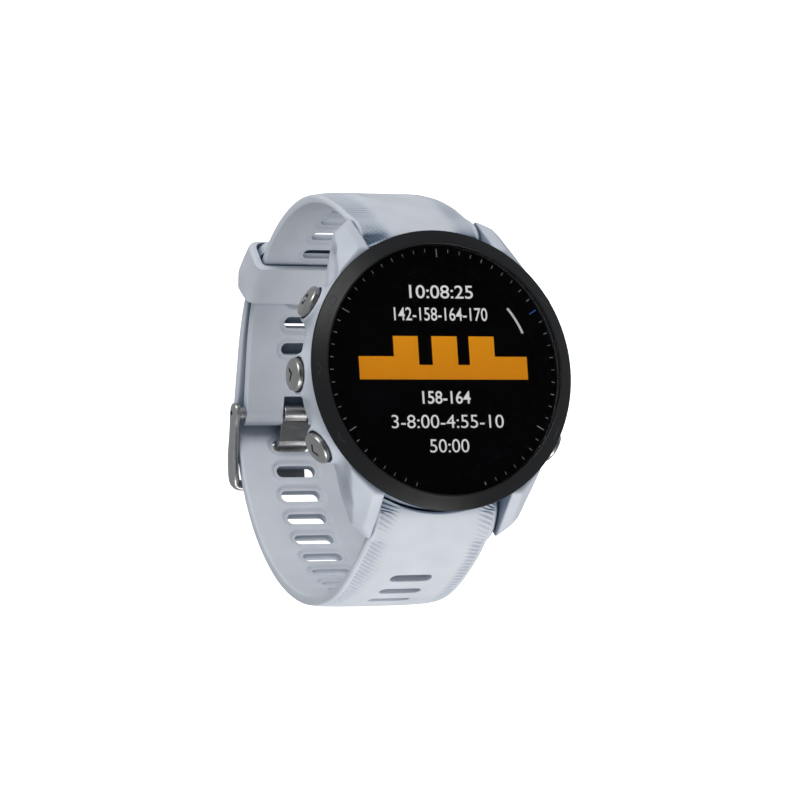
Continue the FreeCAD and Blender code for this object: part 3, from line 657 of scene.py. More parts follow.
def strap_piece(name, route, slots, end, fine_until, ribs, dish, tip=None):
    """Strap as one closed mesh.

    slots are places along the route, end holds the rows of the thick end at the lugs, ribs
    gives the groove phase and strength, and dish is the depth round the slots. The long half
    has a tip, which narrows its far end. The short half has none, and ends round the buckle pin.
    """
    at_pin = tip is None
    outer, inner, place_of_row = (list(column) for column in zip(*end["rows"]))
    for s in along_lines(route.length, slots, fine_until):
        width = half_width(route.at(s)[0][1], at_pin)
        x = across_positions(width)
        ss = np.full(len(x), s)
        nearest = min(slots, key=lambda value: abs(value - s))
        if abs(nearest - s) < PATCH_S:
            x, shift = warp_slot(x, ss - nearest)
            ss = nearest + shift
        from_slot = slot_distance(x, ss - nearest)
        outside = np.maximum(from_slot, 0)
        if tip:
            x = x * tip(ss)
        to_end = np.maximum(route.length - ss, 0) if tip else np.inf
        inset = np.minimum(np.maximum(width - np.abs(x), 0), to_end)
        edge = round_over(EDGE_ROUND, inset)
        over_bar = near_bar(ss + BAR_TO_ROUTE)
        drop = shoulder_drop(x, width, 1 - fade(s, 6, 22), over_bar) + edge
        drop = drop + rib_depth(x, width, *ribs(x, ss + end["arc"])) * (1 - 0.5 * over_bar)
        drop = drop + round_over(LIP_ROUND, outside)
        hollow = dish * (1.5 if at_pin and nearest == slots[0] else 1.0)
        drop = drop + hollow * (1 - fade(from_slot, 0.0, SLOT_DISH))
        rise = 0.7 * edge + 0.30 * (1 - fade(from_slot, 0.62, 0.92)) + round_over(INNER_LIP, outside)
        base = [route.at(min(max(value, 0), route.length)) for value in ss]
        spots, normals = (np.array(column) for column in zip(*base))
        outer.append(np.column_stack([x, spots + normals * (STRAP_THICKNESS - drop)[:, None]]))
        inner.append(np.column_stack([x, spots + normals * rise[:, None]]))
        place_of_row.append(s)
    if at_pin:
        for top, bottom in pin_rows(route, across_positions(half_width(route.at(route.length)[0][1], True))):
            outer.append(top)
            inner.append(bottom)
            place_of_row.append(route.length + 1)
    places = np.array(place_of_row)
    lines = across_positions(STRAP_HALF_WIDTH)
    middle_s = 0.5 * (places[1:] + places[:-1])[:, None]
    middle_x = 0.5 * np.abs(lines[1:] + lines[:-1])[None, :]
    hole = np.zeros((len(places) - 1, len(lines) - 1), bool)
    for place in slots:
        hole |= (np.abs(middle_s - place) < 0.5 * SLOT_WIDTH) & (middle_x < 0.5 * SLOT_LENGTH)
    if at_pin:
        hole |= (middle_s > route.length - NOTCH_LENGTH) & (middle_x < NOTCH_HALF_WIDTH)
    return strap_mesh(name, np.array(outer), np.array(inner), ~hole)


def strap_mesh(name, top, bottom, keep):
    """Closed mesh between two grids of points, with walls round every missing cell."""
    rows, columns = top.shape[:2]
    number = np.arange(rows * columns).reshape(rows, columns)
    a = number[:-1, :-1][keep]
    b = number[:-1, 1:][keep]
    c = number[1:, 1:][keep]
    d = number[1:, :-1][keep]
    quads = [np.column_stack([a, b, c, d]), np.column_stack([d, c, b, a]) + rows * columns]
    padded = np.pad(keep, 1)
    inner = padded[1:-1, 1:-1]
    for shift, first, second in (((0, -1), (0, 0), (1, 0)), ((0, 1), (1, 1), (0, 1)),
                                 ((-1, 0), (0, 1), (0, 0)), ((1, 0), (1, 0), (1, 1))):
        beside = padded[1 + shift[0]:rows + shift[0], 1 + shift[1]:columns + shift[1]]
        i, j = np.nonzero(inner & ~beside)
        p = number[i + first[0], j + first[1]]
        q = number[i + second[0], j + second[1]]
        quads.append(np.column_stack([p, q, q + rows * columns, p + rows * columns]))
    points = np.concatenate([top.reshape(-1, 3), bottom.reshape(-1, 3)])
    return piece_from(name, points, np.concatenate(quads), silicone, 55)


def thick_end(centre, radius, side, end_radius, theta_inner, ribs):
    """Rows of the thick end between the lugs, which follows the round case.

    side is +1 at 12 o'clock. Each row has its outer points, its inner points and its place.
    """
    outer_radius = radius + STRAP_THICKNESS
    y_join = abs(on_circle(centre, outer_radius, theta_inner)[0])
    turn_join = math.acos((y_join - side * centre[0]) / outer_radius)
    inner_join = on_circle(centre, radius, theta_inner)
    face_rows = 4
    corner_rows = 4
    top_rows = 60
    total = face_rows + corner_rows + top_rows
    x = across_positions(STRAP_HALF_WIDTH)
    flat = np.ones(len(x))
    edge = round_over(EDGE_ROUND, np.maximum(STRAP_HALF_WIDTH - np.abs(x), 0))
    face_y = np.sqrt(np.maximum(end_radius ** 2 - x ** 2, 0))
    foot_y = np.sqrt(np.maximum(FOOT_RADIUS ** 2 - x ** 2, 0))
    middle_z = 5.6
    foot_z = BAR_Z - 0.8
    corner = 0.45
    row_place = 0.19

    def circle_z(y):
        return centre[1] + np.sqrt(outer_radius ** 2 - (side * y - centre[0]) ** 2)

    def top_height(y):
        return smooth_min(circle_z(y), STRAP_TOP_Z, 1.2)

    def outer_row(row):
        """Up the end face, round its corner, then along the top."""
        if row < face_rows:
            return face_y, middle_z + (top_height(face_y) - corner - middle_z) * row / face_rows
        if row < face_rows + corner_rows:
            turn = 0.5 * math.pi * (row - face_rows) / corner_rows
            y = face_y + corner * (1 - math.cos(turn))
            return y, top_height(face_y + corner) - corner + corner * math.sin(turn)
        share = (row - face_rows - corner_rows) / top_rows
        y = face_y + corner + (y_join - face_y - corner) * share
        return y, top_height(y)

    def inner_row(share):
        """Down the end face, round the foot, then along the underside."""
        knots = np.array([0.0, 0.2, 0.3, 0.7, 1.0])
        ys = [face_y, foot_y, foot_y, (CASE_RADIUS + 1.4) * flat, abs(inner_join[0]) * flat]
        zs = [middle_z, foot_z + 0.9, foot_z + 0.1, BAR_Z - 1.95, inner_join[1]]
        k = min(int(np.searchsorted(knots, share, side="right")) - 1, 3)
        t = (share - knots[k]) / (knots[k + 1] - knots[k])
        return ys[k] + (ys[k + 1] - ys[k]) * t, zs[k] + (zs[k + 1] - zs[k]) * t

    rows = []
    for row in range(total):
        y_out, z_out = outer_row(row)
        y_in, z_in = inner_row(row / total)
        turn = np.arccos(np.clip((y_out - side * centre[0]) / outer_radius, -1, 1))
        groove = ribs(x, radius * (turn_join - turn) + y_join - RIB_START_Y)
        on_top = fade(row, face_rows + 1, face_rows + corner_rows)
        over_bar = near_bar(y_out - BAR_FOOT_Y)
        drop = shoulder_drop(x, STRAP_HALF_WIDTH, 1.0, over_bar) + edge
        drop = (drop + rib_depth(x, STRAP_HALF_WIDTH, *groove) * (1 - 0.5 * over_bar)) * on_top
        tilt = turn + (0.5 * math.pi - turn) * fade(circle_z(y_out) - STRAP_TOP_Z, -0.6, 0.6)
        y = np.maximum(y_out - drop * np.cos(tilt) * on_top, face_y)
        rise = 0.7 * edge * fade(row / total, 0.2, 0.3)
        rows.append((np.column_stack([x, side * y, z_out - drop * np.sin(tilt)]),
                     np.column_stack([x, side * y_in, z_in + rise]), -1.0 - (total - row) * row_place))
    return {"rows": rows, "arc": y_join - RIB_START_Y}


def upper_ribs(x, s):
    """Grooves that fan out: steep near the case, nearly straight across further out."""
    slant = np.tan(np.radians(10 + 42 * np.exp(-((np.maximum(s, 0) / 9.0) ** 1.5))))
    reference = 8.6 * np.sign(x)
    phase = (s + (x - reference) * slant) / RIB_PITCH
    return phase, (1.7 + 0.6 * np.exp(-(np.maximum(s, 0) / 8.0) ** 2)) * (1 - fade(s, 18, 25))


def lower_ribs(x, s):
    """Grooves at a constant slant."""
    phase = (s - x * math.tan(math.radians(26))) / RIB_PITCH
    return phase, 1 - fade(s, 42, 48)


def build_upper_strap():
    """Short half: from the upper spring bar to the buckle pin."""
    route = Route()
    start = math.asin((BAR_Z - 2.1 - UPPER_CENTRE[1]) / UPPER_RADIUS)
    end = math.radians(UPPER_ARC_END)
    route.arc(UPPER_CENTRE, UPPER_RADIUS, start, end)
    outward = np.array((math.cos(end), math.sin(end)))
    heading = np.array((math.sin(end), -math.cos(end)))
    corner = on_circle(UPPER_CENTRE, UPPER_RADIUS, end)
    route.line(corner, corner + heading * (UPPER_STRAIGHT - 0.2), outward)
    slots = [UPPER_RADIUS * (start - turn) for turn in UPPER_SLOTS]
    lug_end = thick_end(UPPER_CENTRE, UPPER_RADIUS, 1, UPPER_END_RADIUS, start, upper_ribs)
    piece = strap_piece("upper_strap_skin", route, slots, lug_end, 22.0, upper_ribs, 0.42)
    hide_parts("upper_strap")
    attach(piece, "band")


def tail_start():
    """Radius, corner and heading where the tail's straight stretch meets its arc."""
    turn = math.radians(UPPER_ARC_END)
    radius = UPPER_RADIUS + STRAP_THICKNESS + LAYER_GAP
    return radius, on_circle(UPPER_CENTRE, radius, turn), np.array((math.sin(turn), -math.cos(turn)))


def build_lower_strap():
    """Long half: from the lower spring bar, round under the wrist, through the buckle and along the tail."""
    route = Route()
    start = math.pi - math.asin((BAR_Z - 2.1 - LOWER_CENTRE[1]) / LOWER_RADIUS)
    arc_end = math.radians(LOWER_ARC_END)
    bend_end = math.radians(360 + UPPER_ARC_END)
    tail_radius, tail_corner, tail_heading = tail_start()
    last = on_circle(LOWER_CENTRE, LOWER_RADIUS, arc_end)
    heading = np.array((-math.sin(arc_end), math.cos(arc_end)))
    across = heading[0] * tail_heading[1] - heading[1] * tail_heading[0]
    gap = tail_corner - last
    run = (gap[0] * tail_heading[1] - gap[1] * tail_heading[0]) / across
    reach = BUCKLE_BEND_RADIUS * math.tan(0.5 * (bend_end - arc_end))
    touch = last + heading * (run - reach)
    outward = np.array((math.cos(arc_end), math.sin(arc_end)))
    bend = touch - outward * BUCKLE_BEND_RADIUS
    out_tail = np.array((math.cos(bend_end), math.sin(bend_end)))
    route.arc(LOWER_CENTRE, LOWER_RADIUS, start, arc_end)
    arc_length = route.length
    route.line(last, touch, outward)
    route.arc(bend, BUCKLE_BEND_RADIUS, arc_end, bend_end)
    route.line(bend + out_tail * BUCKLE_BEND_RADIUS, tail_corner, out_tail)
    tail_length = route.length
    route.arc(UPPER_CENTRE, tail_radius, bend_end, math.radians(360 + TAIL_TIP_ANGLE))
    slots = [LOWER_RADIUS * (turn - start) for turn in LOWER_SLOTS]
    slots.append(arc_length + SLOT_PITCH)
    slots += [tail_length + tail_radius * math.radians(7.3) + SLOT_PITCH * k for k in range(4)]

    def tip(s):
        past = np.clip((s - route.length + TIP_LENGTH) / TIP_LENGTH, 0, 1)
        return np.sqrt(1 - 0.82 * past ** 2.6)

    lug_end = thick_end(LOWER_CENTRE, LOWER_RADIUS, -1, LOWER_END_RADIUS, start, lower_ribs)
    piece = strap_piece("lower_strap_skin", route, slots, lug_end, 40.0, lower_ribs, 0.25, tip=tip)
    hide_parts("lower_strap")
    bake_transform(piece)


# ---------------------------------------------------------------- case
def case_field(x, y, z):
    """Signed distance, roughly, to the case shell's surface. Negative inside.

    It joins a round body, four faceted lugs and a boss round every button, then cuts the wells
    and bores of the buttons, the holes for the spring bars and the cavity with its back seat.
    """
    reach = np.hypot(x, y)
    wall = reach - CASE_RADIUS - 0.02 * (z - 8.0)
    wall = wall + 0.32 * np.exp(-((z - 8.9) / 1.9) ** 2)
    taper = 0.957 * (reach - 22.3) - 0.29 * (z - 6.2)
    skirt = 0.93 * (reach - 21.15) - 0.37 * (z - 2.4)
    body = wall
    for limit, width in ((taper, 0.5), (skirt, 1.2), (z - CASE_TOP, 0.35), (CASE_BOTTOM - z, 0.6)):
        body = smooth_max(body, limit, width)
    x_side = np.abs(x)
    y_side = np.abs(y)
    # lug tops: two facets towards the strap and two that slope outwards
    facet_in_a = 0.7071 * (y_side - 20.75) + 0.7071 * (z - 11.75)
    facet_in_b = 0.792 * (y_side - 23.6) + 0.611 * (z - 9.0)
    facet_out_a = 0.607 * (x_side - 13.4) + 0.562 * (y_side - 20.75) + 0.562 * (z - 11.75)
    facet_out_b = 0.65 * (x_side - 13.4) + 0.602 * (y_side - 23.6) + 0.464 * (z - 9.0)
    top_in = smooth_max(facet_in_a, facet_in_b, 0.8)
    top_out = smooth_max(facet_out_a, facet_out_b, 0.8)
    # lug sides, tips and undersides
    flank = 0.973 * (x_side - 14.8) + 0.126 * (y_side - 18.0) - 0.195 * (z - 2.0)
    flank = flank + 0.95 * np.exp(-((y_side - 18.6) / 2.6) ** 4 - ((z - 6.0) / 2.4) ** 4)
    tip = 0.616 * (x_side - 11.5) + 0.788 * (y_side - LUG_TIP_Y)
    under_tip = 0.648 * (y_side - 26.3) - 0.761 * (z - 4.2)
    under = 0.107 * (y_side - 23.6) - 0.994 * (z - 1.9)
    under_corner = 0.55 * (x_side - 14.5) + 0.45 * (y_side - 23.9) - 0.70 * (z - 4.6)
    lug = top_in
    for limit, width in ((top_out, 0.12), (flank, 0.35), (tip, 0.3), (under_tip, 0.3), (under, 0.3),
                         (under_corner, 0.3), (z - CASE_TOP, 0.3), (LUG_INNER_X - x_side, 0.25)):
        lug = smooth_max(lug, limit, width)
    lug = np.maximum(lug, np.maximum(12.0 - y_side, 19.5 - reach))
    body = smooth_min(body, lug, 0.9)
    buttons = []
    for turn in np.radians(BUTTON_ANGLES):
        across = y * math.cos(turn) - x * math.sin(turn)
        buttons.append((x * math.cos(turn) + y * math.sin(turn), np.hypot(across, z - BUTTON_Z)))
    for out, side in buttons:
        flare = 3.35 + 1.1 * np.clip((23.6 - out) / 3.0, 0, 1.5) ** 1.6
        boss = side - flare
        for limit, width in ((out - 23.6, 0.35), (19.5 - out, 0.3), (z - CASE_TOP, 0.3)):
            boss = smooth_max(boss, limit, width)
        body = smooth_min(body, boss, 1.5)
    body = np.maximum(body, z - CASE_TOP)
    for out, side in buttons:
        well = np.maximum(side - 2.88, 22.2 - out)
        bore = np.maximum(side - BUTTON_STEM_RADIUS - 0.1, 18.0 - out)
        body = smooth_max(body, -np.minimum(well, bore), 0.15)
    bar_hole = np.hypot(y_side - BAR_Y, z - BAR_Z) - 0.65
    bar_hole = np.maximum(bar_hole, np.maximum(x_side - 12.65, 10.0 - x_side))
    body = np.maximum(body, -bar_hole)
    cavity = np.maximum(reach - CAVITY_RADIUS, 3.2 - z)
    seat = np.maximum(reach - 19.9, z - 2.4)
    way = reach - 19.0
    return np.maximum(body, -np.minimum(np.minimum(cavity, seat), way))


def surface_net(field, low, step):
    """Quads on the zero level of a sampled field, and their points."""
    inside = field < 0
    corners = [(i, j, k) for i in (0, 1) for j in (0, 1) for k in (0, 1)]
    shape = np.array(field.shape) - 1

    def part(array, corner):
        return array[corner[0]:corner[0] + shape[0], corner[1]:corner[1] + shape[1],
                     corner[2]:corner[2] + shape[2]]

    total = sum(part(inside, corner).astype(np.int8) for corner in corners)
    mixed = (total > 0) & (total < len(corners))
    cells = np.argwhere(mixed)
    number = np.full(shape, -1)
    number[mixed] = np.arange(len(cells))
    place = np.zeros((len(cells), 3))
    hits = np.zeros(len(cells))
    for axis in range(3):
        for corner in corners:
            if corner[axis]:
                continue
            other = tuple(1 if k == axis else corner[k] for k in range(3))
            first = part(field, corner)[mixed]
            second = part(field, other)[mixed]
            crossed = (first < 0) != (second < 0)
            t = np.where(crossed, first / np.where(crossed, first - second, 1), 0)
            spot = np.tile(np.array(corner, float), (len(cells), 1))
            spot[:, axis] += t
            place += spot * crossed[:, None]
            hits += crossed
    points = low + (cells + place / hits[:, None]) * step
    quads = []
    for axis in range(3):
        others = [k for k in range(3) if k != axis]
        where = np.argwhere(np.diff(inside, axis=axis))
        beside = where[:, others]
        where = where[((beside > 0) & (beside < shape[others])).all(axis=1)]
        back = np.zeros((4, 3), int)
        back[:, others] = ((0, 0), (1, 0), (1, 1), (0, 1))
        quads.append(np.column_stack([number[tuple((where - offset).T)] for offset in back]))
    return points, np.concatenate(quads)


def build_case_shell():
    """Case shell from its distance field, with the points pulled onto the surface."""
    step = 0.26
    low = np.array((-24.4, -27.3, CASE_BOTTOM - 2 * step))
    high = np.array((24.4, 27.3, CASE_TOP + 2 * step))
    axes = [np.arange(low[k], high[k] + step, step) for k in range(3)]
    grid = np.meshgrid(*axes, indexing="ij")
    points, quads = surface_net(case_field(*grid), low, step)
    small = 0.02
    for _ in range(3):
        value = case_field(*points.T)
        slope = np.stack([case_field(*(points + shift).T) - case_field(*(points - shift).T)
                          for shift in small * np.eye(3)], axis=-1) / (2 * small)
        size = np.maximum((slope ** 2).sum(axis=1), 0.2)
        points = points - np.clip(value / size, -0.2, 0.2)[:, None] * slope
    piece = piece_from("case_shell_skin", points, quads, case_white, 60)
    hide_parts("case_shell")
    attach(piece, "case")


def build_bezel():
    """Black bezel ring with rounded edges."""
    outline = rounded([(19.4, 12.2, 0), (22.5, 12.2, 0.1), (22.95, 12.45, 0.3), (BEZEL_RADIUS, 12.9, 0.25),
                       (*SLOPE_FOOT, 0.2), (*SLOPE_TOP, 0.3), (20.95, 14.4, 0.12), (20.75, 14.3, 0.08),
                       (20.75, 12.9, 0), (19.4, 12.9, 0)])
    piece = lathe("bezel_ring", outline, bezel_black, 256)
    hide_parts("bezel")
    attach(piece, "case")


def build_lens():
    """Cover glass with a polished edge."""
    outline = rounded([(0, LENS_BOTTOM + 0.05, 0), (LENS_RADIUS, LENS_BOTTOM + 0.05, 0),
                       (LENS_RADIUS, LENS_TOP, 0.06), (0, LENS_TOP, 0)])
    piece = lathe("cover_glass", outline, lens_glass, 192)
    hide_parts("lens")
    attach(piece, "case")


def build_print():
    """Black border printed under the glass, and the minute track on it."""
    inner = DISPLAY_RADIUS + 0.05
    outer = LENS_RADIUS - 0.05
    top = PRINT_Z + 0.01
    border = lathe("glass_border", np.array([(inner, PRINT_Z), (outer, PRINT_Z), (outer, top), (inner, top)]),
                   print_black)
    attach(border, "case")
    grey = []
    blue = []
    for minute in range(60):
        if minute in BLANK_MINUTES:
            continue
        middle, length, width = (19.33, 1.4, 0.19) if minute in LONG_MINUTES else (19.75, 0.6, 0.15)
        clock = math.radians(90 - 6 * minute)
        out = np.array((math.cos(clock), math.sin(clock)))
        side = np.array((-out[1], out[0]))
        corners = [out * (middle + a * length / 2) + side * b * width / 2
                   for a, b in ((-1, -1), (1, -1), (1, 1), (-1, 1))]
        plates, material = (blue, tick_blue) if minute == BLUE_MINUTE else (grey, tick_grey)
        plates.append(flat_patch("tick", corners, top + 0.002, 0.01, material))
    for name, plates in (("minute_track", grey), ("two_o_clock_mark", blue)):
        piece = joined(name, plates)
        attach(piece, "case")


def text_piece(name, words, x_low, x_high, y_low, y_high, bold):
    """Digits on the display, stretched to fill a box."""
    curve = bpy.data.curves.new(name, "FONT")
    curve.body = words
    curve.size = 0.003
    curve.offset = bold * MM
    mesh = mesh_of(curve, name)
    spots = np.array([v.co for v in mesh.vertices])
    low = spots.min(axis=0)
    high = spots.max(axis=0)
    scale_x = (x_high - x_low) * MM / (high[0] - low[0])
    scale_y = (y_high - y_low) * MM / (high[1] - low[1])
    mesh.transform(Matrix.Translation((x_low * MM - low[0] * scale_x, y_low * MM - low[1] * scale_y,
                                       SCREEN_Z * MM)) @ Matrix.Diagonal((scale_x, scale_y, 1, 1)))
    work = bmesh.new()
    work.from_mesh(mesh)
    grown = bmesh.ops.extrude_face_region(work, geom=list(work.faces))
    moved = [item for item in grown["geom"] if isinstance(item, bmesh.types.BMVert)]
    bmesh.ops.translate(work, verts=moved, vec=(0, 0, SCREEN_RELIEF * MM))
    work.to_mesh(mesh)
    work.free()
    finish_mesh(mesh, pixel_white, 30)
    return link(bpy.data.objects.new(name, mesh))


def build_screen():
    """Generic digits, a bar chart and an arc on the display."""
    pieces = [
        text_piece("screen_line_1", "10:08:25", -5.2, 6.2, 11.8, 14.0, 0.02),
        text_piece("screen_line_2", "142-158-164-170", -8.15, 8.55, 8.1, 10.3, 0.02),
        text_piece("screen_line_3", "158-164", -4.05, 4.55, -5.6, -3.47, 0.04),
        text_piece("screen_line_4", "3-8:00-4:55-10", -9.75, 10.25, -9.6, -7.4, 0.0),
        text_piece("screen_line_5", "50:00", -3.25, 3.75, -13.6, -11.4, 0.0),
    ]
    low_y, notch_y, shelf_y, high_y = -1.6, 0.8, 2.2, 5.55
    left_x, right_x = -14.85, 15.2
    blocks = ((4.87, 9.42), (-1.78, 2.76), (-8.62, -4.21))
    outline = [(left_x, low_y), (right_x, low_y), (right_x, shelf_y)]
    for index, (left, right) in enumerate(blocks):
        outline += [(right, shelf_y if index == 0 else notch_y), (right, high_y), (left, high_y),
                    (left, notch_y if index < 2 else shelf_y)]
    outline.append((left_x, shelf_y))
    pieces.append(flat_patch("screen_chart", outline, SCREEN_Z, SCREEN_RELIEF, pixel_orange))
    turns = np.radians(90 - np.linspace(50, 67.5, 24))
    arc = [(16.2 * math.cos(t), 16.2 * math.sin(t)) for t in turns]
    arc += [(15.8 * math.cos(t), 15.8 * math.sin(t)) for t in turns[::-1]]
    pieces.append(flat_patch("screen_arc", arc, SCREEN_Z, SCREEN_RELIEF, pixel_grey))
    for piece in pieces:
        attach(piece, "case")


# ---------------------------------------------------------------- generic marks
def mark_distance(kind, u, v):
    """Distance to the line of a simple sign drawn about (0, 0), about 2 mm across."""
    if kind == "ring":
        return np.abs(np.hypot(u, v) - 0.75)
    corners = {
        "up": ((-0.9, -0.35), (0, 0.55), (0.9, -0.35)),
        "down": ((-0.9, 0.35), (0, -0.55), (0.9, 0.35)),
        "play": ((-0.5, -0.8), (0.8, 0), (-0.5, 0.8), (-0.5, -0.8)),
        "bar": ((-0.9, 0), (0.9, 0)),
    }[kind]
    distances = []
    for (ax, ay), (bx, by) in zip(corners, corners[1:]):
        dx, dy = bx - ax, by - ay
        t = np.clip(((u - ax) * dx + (v - ay) * dy) / (dx * dx + dy * dy), 0, 1)
        distances.append(np.hypot(u - ax - t * dx, v - ay - t * dy))
    return np.minimum.reduce(distances)


def build_bezel_marks():
    """Five simple signs on the sloped face of the bezel, beside the buttons."""
    strokes = {
        "ring": [(0.62 * math.cos(a), 0.62 * math.sin(a)) for a in np.linspace(0, 2 * math.pi, 33)],
        "up": [(-0.8, -0.3), (0, 0.45), (0.8, -0.3)],
        "down": [(-0.8, 0.3), (0, -0.45), (0.8, 0.3)],
        "play": [(-0.45, -0.65), (0.7, 0), (-0.45, 0.65), (-0.45, -0.65)],
        "bar": [(-0.9, 0.0), (0.9, 0.0)],
    }
    rise = SLOPE_TOP[1] - SLOPE_FOOT[1]
    run = SLOPE_FOOT[0] - SLOPE_TOP[0]
    slope = math.atan2(rise, run)
    middle = 22.15
    height = SLOPE_FOOT[1] + (SLOPE_FOOT[0] - middle) * rise / run
    for number, (kind, degrees) in enumerate(zip(BUTTON_MARKS, MARK_ANGLES), start=1):
        curve = bpy.data.curves.new("sign", "CURVE")
        curve.dimensions = "3D"
        curve.bevel_depth = 0.055 * MM
        curve.bevel_resolution = 2
        spline = curve.splines.new("POLY")
        spline.points.add(len(strokes[kind]) - 1)
        for point, (u, v) in zip(spline.points, strokes[kind]):
            point.co = (u * 1.3 * MM, v * 0.85 * MM, 0, 1)
        mesh = mesh_of(curve, "sign")
        turn = math.radians(degrees)
        out = Vector((math.cos(turn), math.sin(turn), 0))
        along = Vector((-out.y, out.x, 0)) * (-1 if abs(degrees) < 90 else 1)
        inward = Vector((-out.x * math.cos(slope), -out.y * math.cos(slope), math.sin(slope)))
        normal = along.cross(inward)
        if normal.z < 0:
            normal = -normal
        rotation = Matrix((along, inward, normal)).transposed().to_4x4()
        mesh.transform(Matrix.Translation(out * middle * MM + Vector((0, 0, height * MM))) @ rotation)
        finish_mesh(mesh, mark_grey, 40)
        piece = link(bpy.data.objects.new(f"bezel_sign_{number}", mesh))
        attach(piece, "case")


# ---------------------------------------------------------------- buttons
def build_button(number, degrees, kind):
    """Domed steel cap with a shallow sign cut into it, and its stem."""
    radii = np.concatenate([np.linspace(0, BUTTON_DOME_RADIUS, 48),
                            np.array([2.45, 2.54, 2.61, 2.66, 2.69, BUTTON_CAP_RADIUS])])
    segments = 96
    turns = np.linspace(0, 2 * math.pi, segments, endpoint=False)
    grid_r, grid_t = np.meshgrid(radii, turns)
    u = grid_r * np.cos(grid_t)
    v = grid_r * np.sin(grid_t)
    height = BUTTON_CAP_TOP - 0.30 * (grid_r / BUTTON_DOME_RADIUS) ** 2
    edge = np.maximum(grid_r - BUTTON_DOME_RADIUS, 0) / (BUTTON_CAP_RADIUS - BUTTON_DOME_RADIUS)
    height = height - 0.35 * (1 - np.sqrt(np.maximum(1 - edge ** 2, 0)))
    height = height + 0.04 * np.exp(-((grid_r - 2.2) / 0.12) ** 2)
    height = height - 0.24 * np.exp(-(mark_distance(kind, u, v) / 0.28) ** 4)
    skirt_radius = BUTTON_CAP_RADIUS - 0.08
    groove_radius = 0.85
    side = [(BUTTON_CAP_RADIUS, 23.35), (skirt_radius, 23.22), (skirt_radius, BUTTON_CAP_INNER),
            (BUTTON_STEM_RADIUS, BUTTON_CAP_INNER)]
    for top, bottom in ((21.7, 21.0), (20.25, 19.85)):
        side += [(BUTTON_STEM_RADIUS, top), (groove_radius, top), (groove_radius, bottom),
                 (BUTTON_STEM_RADIUS, bottom)]
    side += [(BUTTON_STEM_RADIUS, BUTTON_STEM_END), (0, BUTTON_STEM_END)]
    ring_r = np.hstack([grid_r, np.tile([r for r, _ in side], (segments, 1))])
    ring_h = np.hstack([height, np.tile([h for _, h in side], (segments, 1))])
    turn = math.radians(degrees)
    out = np.array((math.cos(turn), math.sin(turn), 0))
    sideways = np.array((-out[1], out[0], 0))
    points = (ring_h[:, :, None] * out - (ring_r * np.cos(turns)[:, None])[:, :, None] * sideways
              + (ring_r * np.sin(turns)[:, None] + BUTTON_Z)[:, :, None] * np.array((0, 0, 1)))
    faces = grid_faces(*ring_r.shape, rows_close=True, columns_close=False)
    piece = piece_from(f"button_cap_{number}", points.reshape(-1, 3), faces, button_steel, 40)
    piece.data.materials.append(button_mark)
    for face in piece.data.polygons:
        middle = np.array(face.center) / MM
        if middle @ out > 24.2 and mark_distance(kind, -middle @ sideways, middle[2] - BUTTON_Z) < 0.25:
            face.material_index = 1
    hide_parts(f"button_{number}")
    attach(piece, f"button_{number}")


# ---------------------------------------------------------------- keeper and buckle
def build_keeper():
    """Loop with thin lips and an angular ridge round its outer face."""
    inner_x = 10.7
    low_r = UPPER_RADIUS - 0.3
    high_r = UPPER_RADIUS + 2 * STRAP_THICKNESS + LAYER_GAP + 0.3
    corners = rounded([(-inner_x, low_r, 0.8), (inner_x, low_r, 0.8), (inner_x, high_r, 1.6),
                       (-inner_x, high_r, 1.6)], 6)
    spots = []
    for index in range(len(corners)):
        start, end = corners[index], corners[(index + 1) % len(corners)]
        pieces = max(1, int(np.linalg.norm(end - start) / 0.8))
        spots += [start + (end - start) * k / pieces for k in range(pieces)]
    inner = np.array(spots)
    ahead = np.roll(inner, -1, axis=0) - np.roll(inner, 1, axis=0)
    outward = np.column_stack([ahead[:, 1], -ahead[:, 0]])
    outward /= np.linalg.norm(outward, axis=1)[:, None]
    # place across the loop's width from -1 to 1, and height as a share of the thickness
    ridge_share = -0.32
    profile = [(-1.0, 0.12), (-0.985, 0.5), (-0.955, 0.82), (-0.91, 1.0)]
    for t in np.linspace(-0.82, 0.88, 19):
        side = (t - ridge_share) / (1 - ridge_share if t > ridge_share else 1 + ridge_share)
        profile.append((t, 2.0 - math.sqrt(side ** 2 + 0.012)))
    profile += [(0.925, 1.0), (0.96, 0.82), (0.985, 0.5), (1.0, 0.12)]
    outer_side = np.clip((inner[:, 1] - low_r) / (high_r - low_r), 0, 1)
    thickness = 0.85 - 0.1 * outer_side + 0.55 * np.clip(np.abs(outward[:, 0]), 0, 1)
    rows = [(share, min(rise, 1) * thickness + 0.85 * max(rise - 1, 0) * outer_side ** 2)
            for share, rise in profile]
    rows += [(share, np.full(len(inner), 0.10 if abs(share) == 1 else 0.0))
             for share in (1.0, 0.96, 0.5, 0.0, -0.5, -0.96, -1.0)]
    points = []
    for share, grown in rows:
        spot = inner + outward * grown[:, None]
        turn = KEEPER_ANGLE + share * KEEPER_HALF_ANGLE
        y = UPPER_CENTRE[0] + spot[:, 1] * math.cos(turn)
        z = UPPER_CENTRE[1] + spot[:, 1] * math.sin(turn)
        points.append(np.column_stack([spot[:, 0], y, z]))
    faces = grid_faces(len(points), len(inner), rows_close=True)
    piece = piece_from("keeper_loop", np.concatenate(points), faces, silicone, 50)
    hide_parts("keeper")
    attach(piece, "keeper")


